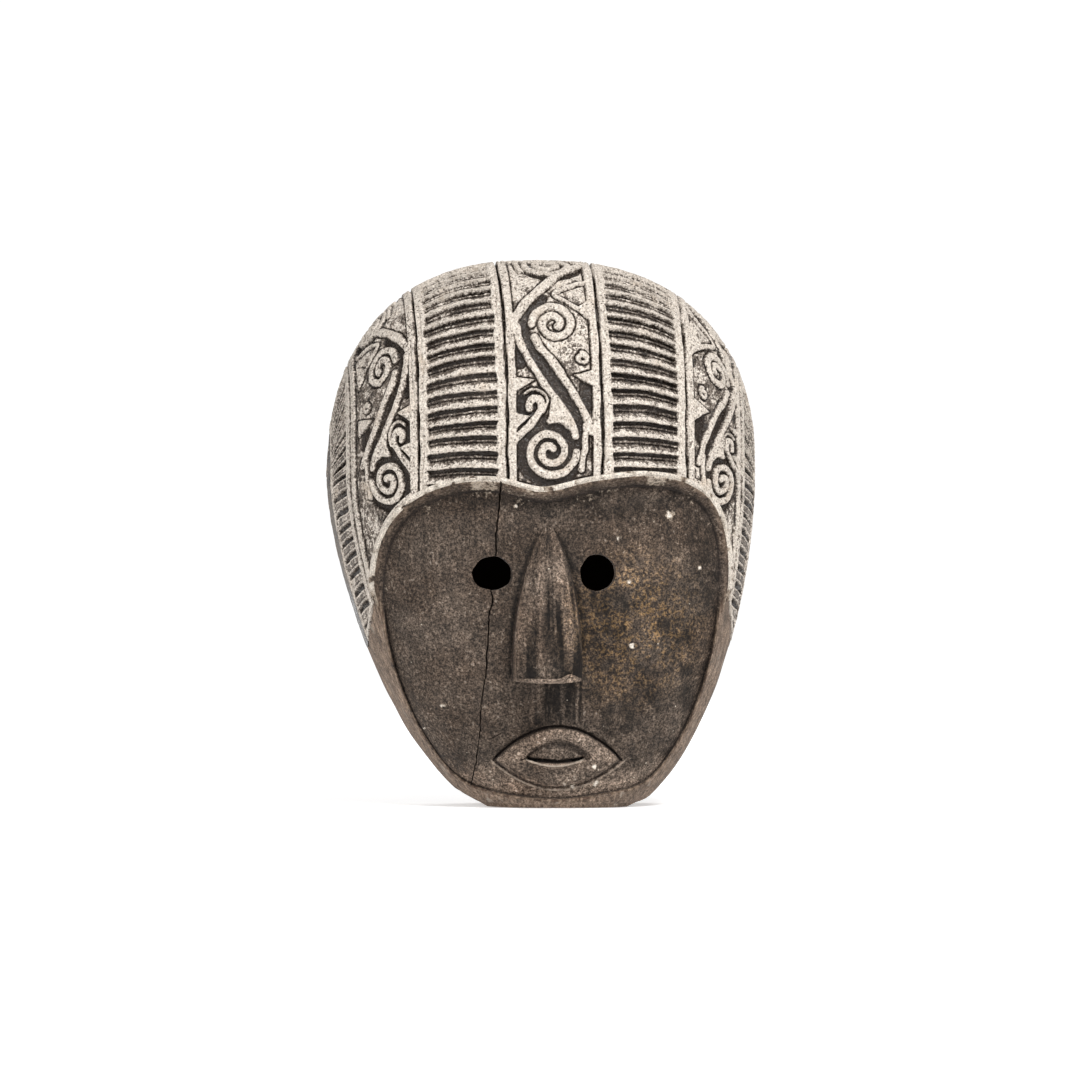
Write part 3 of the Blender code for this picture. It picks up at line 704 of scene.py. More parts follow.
class Scroll:
    """One S-scroll: its strands, its leaves and the deep pockets between them, in millimetres."""

    def __init__(self, shift_a, shift_b, size, mirrored):
        self.shift = (shift_a, shift_b)
        self.size = size
        self.turned = -1.0 if mirrored else 1.0
        path = self.path
        bent = lambda *points: path(curve_through(points))
        upper = path(spiral((1.5, 98.5), 13.0, 180, 1.6, 6.4))
        lower = path(spiral((-2.8, SCROLL_EYE), 15.3, 0, 1.85, 7.0))
        right = bent((22, 34), (17, 45.6), (11.6, 55.2), (5.9, 64.8), (0.1, 74), (-6.2, 82), (-10.2, 90))
        left = bent(
            (-20.3, 97), (-17.9, 85), (-13.2, 74.5), (-7.8, 65.6),
            (-2, 57), (4, 48.4), (9.2, 40), (12, 31.5),
        )
        strap = bent((-23, 99), (-15.6, 110), (-9.3, 117.8), (-2, 125.5), (5.3, 134), (13, 143), (20, 150))
        fork = bent((24, 103.5), (20.5, 105.5), (12, 112), (3, 118.5), (9.5, 123.5), (18, 128), (26, 131))
        curl = bent(
            (-24, 28), (-20.5, 32), (-13.5, 39.3), (-8.6, 45.6),
            (-7.9, 50.9), (-11.2, 53.4), (-14.6, 51.4), (-15, 47.5),
        )
        hook = bent((-17.5, 56), (-12.5, 59), (-7, 57), (-4.2, 51.5), (-6.5, 45))
        web = bent((-3.4, 39.8), (3, 40.6), (8.8, 36.5))
        beside = bent((18, 38), (17.4, 26), (15, 12))
        whorl = path(spiral((16.6, 77.5), 3.6, 90, 1.1, 2.0))
        self.strands = [(line, STRAND) for line in (upper, lower, right, left, curl)]
        self.strands += [(strap, 1.15 * STRAND), (fork, THIN), (hook, 0.6 * THIN), (web, THIN)]
        self.strands += [(beside, 1.3 * THIN), (whorl, 0.8 * THIN)]
        self.leaves = [path(leaf) for leaf in (
            [(-26, 67), (-12.2, 64.2), (-26, 56)],
            [(-26, 46), (-14.5, 43), (-26, 34)],
            [(26, 71.5), (12.4, 67), (26, 59)],
            [(26, 118), (15.5, 108.5), (26, 98)],
            [(-1, 57), (-3.4, 41), (9, 38)],
        )]
        gap = bent(
            (-15.4, 104), (-16.2, 94), (-12.4, 82), (-5, 70.5),
            (2.4, 61), (9.4, 51), (14.8, 41.5), (16, 35),
        )
        self.pockets = [(gap, 3.6)] + [(path(line), reach) for line, reach in (
            ([(-2.8, SCROLL_EYE), (-2.8, 22.5)], 20.5),
            ([(-14.5, 47), (-13, 50)], 9.5),
            ([(-4.5, 57), (-6, 60)], 3.5),
            ([(19, 60), (20, 50)], 4.5),
            ([(-19.5, 75), (-20, 80)], 3.6),
            ([(-12, 108), (-4, 116)], 3.0),
        )]

    def path(self, points):
        """Points of the pattern, moved, scaled and mirrored to their place on the band."""
        points = np.array(points, float)
        across = self.turned * points[:, 0] * self.size + self.shift[0]
        return np.stack([across, (points[:, 1] - SCROLL_EYE) * self.size + self.shift[1]], -1) * MM


def strand_height(near, half):
    """0 on a strand and 1 on the ground beside it, with a slightly crowned top."""
    crown = 0.12 * np.clip(near / half, 0, 1) ** 2
    return crown + (1 - crown) * smooth(half - 0.25 * MM, half + 0.45 * MM, near)


def leaf_inside(leaf, a, b):
    """Distance inside a convex leaf, negative outside."""
    inside = np.full(a.shape, 1.0)
    middle = leaf.mean(axis=0)
    for (x0, y0), (x1, y1) in zip(leaf, np.roll(leaf, -1, axis=0)):
        length = math.hypot(x1 - x0, y1 - y0)
        turn = (x1 - x0) * (middle[1] - y0) - (y1 - y0) * (middle[0] - x0)
        off = (x1 - x0) * (b - y0) - (y1 - y0) * (a - x0)
        inside = np.minimum(inside, math.copysign(1, turn) * off / length)
    return inside


def rails(edge, seed, b):
    """Depth of the flat border rail: half of the V-groove between two bands, and a stray cut."""
    wander = 0.5 * MM * noise(b, b * 0 + seed * 0.1, 11 * MM, 11)
    wide = 1.0 + 0.55 * noise(b, b * 0 + seed * 0.3, 30 * MM, 13)
    groove = 3.6 * MM * (1.0 - smooth(0.1 * MM, (0.55 + 0.75 * np.clip(wide, 0.2, 1.6)) * MM, edge + wander))
    nick = 0.8 * MM * bell(edge - 3.2 * MM + 2 * wander, 0.0, 0.4 * MM)
    nick = nick * smooth(-0.1, 0.4, noise(b, b * 0 + seed, 16 * MM, 12))
    return groove + nick


def ladder_depth(a, b, half, seed):
    """Chip-cut rungs: a thin crest over a slot, a ledge, a fine groove and a long slope."""
    random = np.random.default_rng(seed)
    count = 40
    pitch = RUNG_PITCH * (1 + 0.07 * random.standard_normal(count))
    starts = summed(pitch) - 6 * MM
    tilt = 0.02 * random.standard_normal()
    y = b - 1.3 * MM * (1 - (a / half) ** 2) - tilt * a + 0.55 * MM * noise(a, b, 14 * MM, seed + 1)
    y += 0.16 * MM * noise(a, b, 2.6 * MM, seed + 4)
    rung = np.clip(np.searchsorted(starts, y.ravel()) - 1, 0, count - 1).reshape(y.shape)
    share = (y - starts[rung]) / (starts[rung + 1] - starts[rung])
    slot = (3.3 + 0.5 * random.standard_normal(count))[rung] * MM
    knots = [0.0, 0.06, 0.14, 0.46, 0.50, 0.54, 0.58, 0.68, 0.725, 0.93, 0.985, 1.0]
    depth = np.interp(share, knots, [0.0, 0.0, 0.4, 1.75, 2.5, 2.5, 1.55, 1.5, 3.0, 3.0, 0.3, 0.0]) * MM
    return np.where((share > 0.70) & (share < 0.96), depth * slot / (3.0 * MM), depth)


def scroll_ground(kind, a, b, edge, seed):
    """Depth of a scroll panel inside its rails, and how much white stays on it."""
    a = a + layered(a, b, (0.45 * MM, 6, seed + 11), (0.16 * MM, 1.9, seed + 12))
    b = b + layered(a, b, (0.45 * MM, 6, seed + 13), (0.16 * MM, 1.9, seed + 14))
    outside = np.full(a.shape, 20 * MM)
    level = np.ones_like(a)
    pocket = np.zeros_like(a)
    for scroll in SCROLLS[kind]:
        for line, half in scroll.strands:
            near = distance_to(line, a, b)
            level = np.minimum(level, strand_height(near, half * scroll.size))
            outside = np.minimum(outside, near - half * scroll.size)
        for leaf in scroll.leaves:
            inside = leaf_inside(leaf, a, b)
            dish = 0.30 * smooth(1.0 * MM, 3.0 * MM, inside)
            level = np.minimum(level, np.where(inside > 0, dish, smooth(0.0, 0.6 * MM, -inside)))
            outside = np.minimum(outside, -inside)
        for line, reach in scroll.pockets:
            reach = reach * scroll.size * MM
            hollowed = 1 - smooth(reach - 0.8 * MM, reach + 1.2 * MM, distance_to(line, a, b))
            pocket = np.maximum(pocket, hollowed)
    outside = np.minimum(outside, edge - RAIL_WIDTH)
    outline = bell(outside, 0.75 * MM, 0.5 * MM)
    flakes = layered(a, b, (1, 3.4, seed + 15), (0.6, 1.5, seed + 16))
    shallow = 1.15 * MM + 0.45 * MM * flakes + 1.0 * MM * outline
    ground = shallow + (3.1 * MM + 0.2 * MM * flakes - shallow) * pocket
    inside_rail = smooth(RAIL_WIDTH - 0.2 * MM, RAIL_WIDTH + 0.5 * MM, edge)
    level = level * inside_rail
    depth = 0.2 * MM * inside_rail + (ground - 0.2 * MM) * level
    upper = smooth(50 * MM, 110 * MM, b)
    ground_wash = 0.62 - 0.75 * outline - 0.22 * np.clip(-flakes, -1, 1) + 0.2 * upper
    ground_wash = ground_wash + (0.16 * upper - 0.05 - ground_wash) * pocket
    return depth, 1.0 + (ground_wash - 1.0) * smooth(0.15, 0.8, level)


def panel_relief(kind, a, b, half, edge, from_low, seed):
    """Depth below the block's surface, and how much white stays on it."""
    rough = layered(a, b, (0.14 * MM, 3.2, seed), (0.09 * MM, 1.2, seed + 3))
    if kind.startswith("ladder"):
        ground = ladder_depth(a, b, half, seed)
        reach = RAIL_WIDTH + 0.9 * MM * noise(b, a * 0, 4 * MM, seed + 5)
        ground = ground * smooth(reach, reach + 1.0 * MM, edge) * smooth(1.6 * MM, 2.4 * MM, from_low)
        high = 1.0 - ground / (2.6 * MM)
        fade = smooth(80 * MM, 150 * MM, b) * 0.3
        wash = np.clip(high, 0, 1) ** 1.1 + fade
    else:
        low_rail = 3.2 * MM if kind == "scroll_middle" else 0.2 * MM
        ground, wash = scroll_ground(kind, a, b, np.minimum(edge, from_low + low_rail), seed)
    rail = rails(edge, seed, b) + 1.6 * MM * (1 - smooth(0.1 * MM, 1.1 * MM, from_low))
    depth = ground + rail + rough
    wash = wash * (1 - 0.85 * smooth(0.4 * MM, 1.6 * MM, rail))
    patchy = layered(a, b, (0.13, 8, seed + 21), (0.10, 3, seed + 22))
    less = {"scroll_left": 0.17, "scroll_right": 0.08, "scroll_middle": 0.05}.get(kind, 0.0)
    return depth, np.clip(wash - less + patchy * (wash > 0.1), 0, 1.2)


SCROLLS = {
    "scroll_middle": (Scroll(0, 22.4, 1.0, False), Scroll(0, 150, 0.95, True)),
    "scroll_left": (Scroll(3.5, 5, 0.86, True), Scroll(-2, 112, 0.8, False), Scroll(2, 208, 0.8, True)),
    "scroll_right": (Scroll(2, 5, 0.86, True), Scroll(2, 112, 0.8, False), Scroll(-2, 208, 0.8, True)),
}


# ================================================================ pieces of the block


def face_loops():
    """The plate's edge, the brow and rim line round it, the way outwards, and where the brow is."""
    edge = curve_through(np.array(PLATE_EDGE) * MM, 40, closed=True)
    run = summed(np.linalg.norm(np.roll(edge, -1, axis=0) - edge, axis=1))
    even = np.linspace(0.0, run[-1], 1200, endpoint=False)
    ring = np.vstack([edge, edge[:1]])
    edge = np.stack([np.interp(even, run, ring[:, 0]), np.interp(even, run, ring[:, 1])], -1)
    tangent = np.roll(edge, -2, axis=0) - np.roll(edge, 2, axis=0)
    outward = unit(np.stack([tangent[:, 1], -tangent[:, 0]], -1))
    for _ in range(30):
        outward = (np.roll(outward, 1, axis=0) + outward + np.roll(outward, -1, axis=0)) / 3
    outward = unit(outward)
    upper = smooth(108 * MM, 132 * MM, edge[:, 1])
    width = (1.8 + 5.2 * upper) * MM
    lip = edge + outward * width[:, None]
    return edge, lip, outward, upper


EDGE, LIP, OUTWARD, UPPER = face_loops()


def lower_border():
    """The cap's lower border as v against s: the brow line, then down the cheeks to the back."""
    brow = LIP[LIP[:, 1] > 124 * MM]
    brow = brow[np.argsort(brow[:, 0])]
    z = brow[:, 1]
    s = (brow[:, 0] - centre_x(z)) / half_width(z)
    order = np.argsort(s)
    s, v = s[order], z[order] - SHOULDER_Z
    left = [(-1.0, -98 * MM), (-0.97, -88 * MM), (-0.925, -76 * MM)]
    right = [(0.925, -76 * MM), (0.97, -88 * MM), (1.0, -98 * MM)]
    keep = np.abs(s) < 0.92
    shares = np.concatenate([[p[0] for p in left], s[keep], [p[0] for p in right]])
    values = np.concatenate([[p[1] for p in left], v[keep], [p[1] for p in right]])
    return shares, values


BORDER_S, BORDER_V = lower_border()


def cap_border(s):
    """The cap's lower border at a share of the half width."""
    return np.interp(s, BORDER_S, BORDER_V)


V_END = float(np.interp(-EDGE_GAP, -DOME_DEPTH, DOME_RUN))  # where the cap ends, just short of the back
S_END = (1.0 - (EDGE_GAP / BROW_DEPTH) ** DOME_POWER) ** (1 / DOME_POWER)  # the same at the sides


def even_count(length, step, ratio):
    """How many grid points to a length, so that a grid `ratio` times coarser shares its ends."""
    return ratio * round(length / step / ratio) + 1


def cap_grid(shares, low, rows):
    """Places (s, v) from the cap's lower border to its end at the back."""
    t = np.linspace(0.0, 1.0, rows)[:, None]
    v = low + t * (V_END - low)
    return np.broadcast_to(shares, v.shape), v


def run_up(share, count, v):
    """Distance along the cap at one share of the half width, for each v, and that of v = 0."""
    line_v = np.linspace(BORDER_V.min(), V_END, count)
    run = run_along(block_point(np.full(count, share), line_v))
    return np.interp(v, line_v, run), np.interp(0.0, line_v, run)


def carved_slab(name, base, depth, wash, finish):
    """A carved slab under the block's surface, with its finish."""
    outward = normals(base)
    outer = base - outward * depth[..., None]
    inner = (base - outward * SLAB_THICK)[::SLAB_RATIO, ::SLAB_RATIO]
    mesh = closed_slab(name, outer, inner, SLAB_RATIO, {"wash": wash})
    return finish_wood(place(name, mesh, finish))


def band_piece(name, left, right, finish, seed):
    """One band of the cap, from the brow over the crown to the back."""
    wide = even_shares(left, right, 200)[1][-1]
    shares, across = even_shares(left, right, even_count(wide, BAND_STEP, SLAB_RATIO))
    border_v = cap_border(shares)
    rows = even_count(V_END - border_v.mean(), BAND_STEP, SLAB_RATIO)
    low = border_v[None, :] - 0.2 * MM
    s, v = cap_grid(shares, low, rows)
    b, start = run_up(shares[np.argmin(np.abs(across - wide / 2))], 800, v)
    a = np.broadcast_to(across - wide / 2, v.shape)
    edge = wide / 2 - np.abs(a)
    depth, wash = panel_relief(name, a, b - start + 5 * MM, wide / 2, edge, v - low, seed)
    return carved_slab(name, block_point(s, v), depth, wash, finish)


def rib_piece(name, side, finish, seed):
    """The band of ribs round one side of the head, and the plain strip behind it."""
    wide = even_shares(OUTER_BORDER, S_END, 400)[1][-1]
    shares, across = even_shares(OUTER_BORDER, S_END, even_count(wide, RIB_STEP, SLAB_RATIO))
    if side < 0:
        shares = -shares[::-1]
        across = across[::-1]
    low = cap_border(shares)[None, :]
    s, v = cap_grid(shares, low, even_count(V_END - low.mean(), RIB_STEP, SLAB_RATIO))
    b, _ = run_up(side * OUTER_BORDER, 900, v)
    depth, wash = rib_relief(np.broadcast_to(across, v.shape), b, v - low, seed)
    return carved_slab(name, block_point(s, v), depth, wash, finish)


def rib_relief(a, b, from_tip, seed):
    """Depth of the side's ribs and grooves, and how much white stays on them."""
    random = np.random.default_rng(seed)
    count = 60
    starts = summed(RIB_PITCH * (1 + 0.08 * random.standard_normal(count)))
    y = b + 0.24 * a + 0.6 * MM * noise(a, b, 12 * MM, seed + 1)
    y = y + 0.15 * MM * noise(a, b, 2.6 * MM, seed + 4)
    rib = np.clip(np.searchsorted(starts, y.ravel()) - 1, 0, count - 1).reshape(y.shape)
    share = (y - starts[rib]) / (starts[rib + 1] - starts[rib])
    near_rail = 1 - smooth(20 * MM, 26 * MM, a + 4 * MM * random.uniform(-1, 1, count)[rib])
    slot = np.interp(share, [0, 0.06, 0.11, 0.44, 0.50, 1.0], [0, 0.3, 3.6, 3.6, 0.2, 0.0]) * MM
    line = np.interp(share, [0, 0.06, 0.20, 0.38, 0.44, 1.0], [0, 0.2, 2.9, 1.6, 0.3, 0.0]) * MM
    second = np.interp(share, [0.58, 0.66, 0.72], [0, 1.0, 0]) * MM
    ribs = line + (slot - line) * near_rail + second + 0.7 * MM * smooth(0.5, 1.0, share)
    inside = np.minimum(a, RIB_BAND_WIDTH - a)
    ribs = ribs * smooth(RAIL_WIDTH - 0.4 * MM, RAIL_WIDTH + 0.6 * MM, inside)
    ribs = ribs * smooth(2 * MM, 5 * MM, from_tip)
    rough = layered(a, b, (0.16 * MM, 3.2, seed + 2), (0.09 * MM, 1.3, seed + 3))
    groove = 3.4 * MM * (1 - smooth(0.25 * MM, 1.25 * MM, a))
    groove += 2.4 * MM * (1 - smooth(0.3 * MM, 1.3 * MM, np.abs(a - RIB_BAND_WIDTH - 0.5 * MM)))
    behind = smooth(RIB_BAND_WIDTH + 0.5 * MM, RIB_BAND_WIDTH + 2 * MM, a)
    adzed = behind * (0.35 * MM + 0.35 * MM * noise(a, b * 0.35, 9 * MM, seed + 6))
    wash = (0.84 - 0.10 * smooth(6 * MM, 20 * MM, a)) * np.clip(1 - ribs / (1.7 * MM), 0, 1)
    wash = wash + layered(a, b, (0.16, 6, seed + 9), (0.12, 2.4, seed + 10)) * (wash > 0.1)
    crest = bell(share, 0.54, 0.05) + bell(share, 0.02, 0.04)
    wash = (wash + 0.35 * np.clip(crest, 0, 1)) * (1 - smooth(0.5 * MM, 2 * MM, groove))
    wash = wash * (1 - behind) + behind * (0.30 + 0.25 * noise(a, b, 15 * MM, seed + 8))
    return ribs + groove + rough + adzed, np.clip(wash, 0, 1.2)


# ---------------------------------------------------------------- face plate


def almond_level(x, z, half_w, half_h):
    """Below 1 inside an almond outline centred on the origin."""
    return np.abs(z) / np.maximum(half_h * (1.0 - np.clip(np.abs(x) / half_w, 0, 1) ** 2.2), 1e-6)


def almond_path(half_w, half_h, side, centre):
    """One side of an almond outline, from corner to corner."""
    u = np.linspace(-1.0, 1.0, 33)
    return np.stack([centre[0] + half_w * u, centre[1] + side * half_h * (1 - np.abs(u) ** 2.1)], -1) * MM


def mouth_relief(x, z):
    """How far the mouth stands out of the plate, its painted shade in the cuts, and its tone, which holds
    painted highlights too.
    """
    shake = layered(x, z, (0.30 * MM, 6, 33), (0.12 * MM, 1.6, 34))
    x, z = x + shake, z + shake
    u = (x / MM - MOUTH[0]) / MOUTH_HALF
    zz = z / MM
    wide = np.abs(u) < 1
    top = MOUTH[1] + MOUTH_TOP * (1 - np.abs(np.clip(u, -1, 1)) ** 2.0)
    low = MOUTH[1] - MOUTH_LOW * (1 - np.abs(np.clip(u, -1, 1)) ** 1.8)
    inside = np.where(wide, np.minimum(top - zz, zz - low), -5.0)
    ring_top = distance_to(almond_path(MOUTH_HALF, MOUTH_TOP, 1, MOUTH), x, z) / MM
    ring_low = distance_to(almond_path(MOUTH_HALF, MOUTH_LOW, -1, MOUTH), x, z) / MM
    below = smooth(2.0, -2.0, zz - MOUTH[1])
    proud = 3.2 * MM * smooth(0.2, 1.5, inside)
    cut_shade = 1 - smooth(0.3, 1.1, ring_top)
    cut_low = (1 - smooth(0.2, 0.8, ring_low)) * below
    proud -= 1.8 * MM * cut_shade + 1.0 * MM * cut_low
    across = np.abs(x / MM - LIPS[0])
    rise = zz - LIPS[1]
    well = almond_level(x / MM - LIPS[0] - 2.0, np.maximum(rise, 0), 20.5, 11.8)
    well = np.where((rise > -0.5) & (across < 20), 1 - smooth(0.82, 1.02, well), 0)
    proud -= 2.3 * MM * well
    upper = 1 - smooth(0.55, 1.0, almond_level(x / MM - LIPS[0], rise - 1.0, 16.4, 7.4))
    upper = np.where(across < 16, upper, 0)
    proud += 1.9 * MM * upper
    bow = LIPS[1] - 2.4 * (1 - np.clip(across / LIP_HALF, 0, 1) ** 2)
    span = smooth(17.2, 15.6, across)
    slit = span * (1 - smooth(0.7, 1.35, np.abs(rise + LIPS[1] - bow - 0.9)))
    crescent = span * bell(zz - bow + 0.75, 0.0, 0.5)
    proud += 1.3 * MM * crescent - 3.6 * MM * slit
    # shade is painted shade: the outline grooves and the slit, and below it the top of the well under the
    # ring
    shade = np.maximum(np.maximum(0.95 * cut_shade, 0.8 * cut_low), slit)
    shade = np.maximum(shade, 0.55 * well * (1 - upper) * smooth(0.0, 3.0, rise))
    body = smooth(0.8, 2.0, inside)
    ring = body * (1 - well) * smooth(-4.0, 1.0, rise)
    grit = noise(x, z, 2.2 * MM, 35) + 0.6 * noise(x, z * 0.4, 1.1 * MM, 36)
    # the ring band's upper half and the crescent on the lower lip are painted lighter: painted highlight
    tone = (1.25 + 0.45 * grit) * ring + (0.35 + 0.35 * grit) * body * (1 - ring) + 3.0 * crescent
    outer = bell(ring_low, 1.3, 0.55) * below * (inside < 0) * (np.abs(u) < 1.06)
    tone = tone + (1.5 + 0.6 * grit) * outer
    tone = tone + 0.8 * bell(ring_top, 1.5, 0.5) * (inside > 0) * (1 - below)
    return proud, shade, tone


# pale scuffs on the plate as (x, z, size)
SCUFFS = ((-61, 60, 1.9), (-71, 46, 1.0), (69.8, 171, 3.2), (39.5, 157, 2.2), (48, 95, 2.0), (27, 24.5, 1.6))
SCUFFS += ((15, 12.5, 1.9), (28, 14.5, 2.2), (10, 14, 1.2), (46, 132, 1.4), (88, 140, 1.2), (-20, 176, 1.3))


# darker and lighter patches of the plate as (amount, x, z, half width, half height); the dark band under the
# brow line and the dark patch right of the nose are painted shadow of the brow and of the nose
PATCHES = (
    (-0.42, 33, 106, 13, 24), (-0.35, -8, 178, 70, 6), (-0.25, 70, 80, 18, 30),
    (0.35, 62, 150, 20, 16), (0.25, -60, 95, 26, 50), (0.35, 66, 95, 14, 18),
)


def patch(x, z, middle_x, middle_z, wide, high):
    """1 at the middle of an oval patch, fading out around it."""
    return np.exp(-((x / MM - middle_x) / wide) ** 2 - ((z / MM - middle_z) / high) ** 2)


def nose_half(share):
    """The nose's half width, in millimetres, at a share of its length from the top."""
    return 2.6 + 17.6 * (1.0 - (1.0 - share) ** 2.7)


def plate_tone(x, z):
    """Large patches of lighter and darker wood over the plate, two of them painted shadow, and a painted
    shadow along the nose's sides.
    """
    mottled = layered(x, z, (0.28, 9, 81), (0.22, 3.6, 82)) - 0.06
    tone = mottled * (0.5 + 1.0 * smooth(-10 * MM, 40 * MM, x))
    for amount, *place_and_size in PATCHES:
        tone = tone + amount * patch(x, z, *place_and_size)
    fall = np.clip((NOSE_TOP_Z - z / MM) / (NOSE_TOP_Z - NOSE_BASE_Z), 0, 1)
    beside = np.abs(x / MM - NOSE_X) - nose_half(fall)
    shadow = bell(beside, 1.0, 1.8) * smooth(NOSE_BASE_Z - 3, NOSE_BASE_Z + 2, z / MM)
    tone = tone - 0.75 * shadow * smooth(0.0, 0.1, fall) * np.where(x < 0, 1.0, 0.75)
    chin = smooth(30 * MM, 12 * MM, z)
    return tone + chin * (1.9 + 0.9 * noise(x, z * 3, 6 * MM, 83))


def plate_relief(x, z):
    """The plate's relief at (x, z): how far it stands out, its painted shade in the cuts, its chalk and its
    tone, which holds painted shade and highlights as well as the wood's own patches.
    """
    proud, cut_shade, tone = mouth_relief(x, z)
    proud += 0.5 * MM * noise(x, z * 0.5, 17 * MM, 41) + 0.20 * MM * noise(x, z * 0.25, 4 * MM, 42)
    proud += 0.13 * MM * noise(x, z * 0.08, 1.5 * MM, 43) + 0.10 * MM * noise(x, z, 1.1 * MM, 45)
    scoop = smooth(-13 * MM, -10 * MM, x) * (1 - smooth(19 * MM, 22 * MM, x))
    scoop = scoop * smooth(48 * MM, 50 * MM, z) * (1 - smooth(74 * MM, 77 * MM, z))
    fibre = noise(x, z * 0.05, 1.8 * MM, 44)
    proud += scoop * (0.6 * MM * fibre - 0.8 * MM)
    streaks = fibre + 0.7 * noise(x, z * 0.08, 0.9 * MM, 46)
    tone = tone + plate_tone(x, z) * (tone < 0.05) + scoop * (0.9 * streaks - 0.15)
    chalk = np.zeros_like(x)
    for cx, cz, size in SCUFFS:
        away = np.hypot(x / MM - cx, z / MM - cz) / size
        chalk = np.maximum(chalk, 1.15 * np.exp(-(away**2)) * (0.8 + 0.5 * noise(x, z, 1.3 * MM, 84)))
    scraped = patch(x, z, 62, 163, 24, 13)
    chalk = np.maximum(chalk, 0.30 * scraped * smooth(0.0, 0.5, noise(x + z, z - x, 4 * MM, 85)))
    # the scoop under the nose also gets a quarter of painted shade
    return proud, np.clip(cut_shade + 0.25 * scoop, 0, 1), np.clip(chalk, 0, 1), np.clip(tone, -0.8, 3.0)


# how much old white fills the cove under the brow line, from left to right in millimetres
COVE_PLACES = (-95, -60, -48, -40, -10, 4, 20, 50, 57, 66, 73, 95)
COVE_COVER = (0.05, 0.15, 0.35, 0.60, 0.62, 0.38, 0.05, 0.05, 1.0, 0.9, 0.25, 0.10)


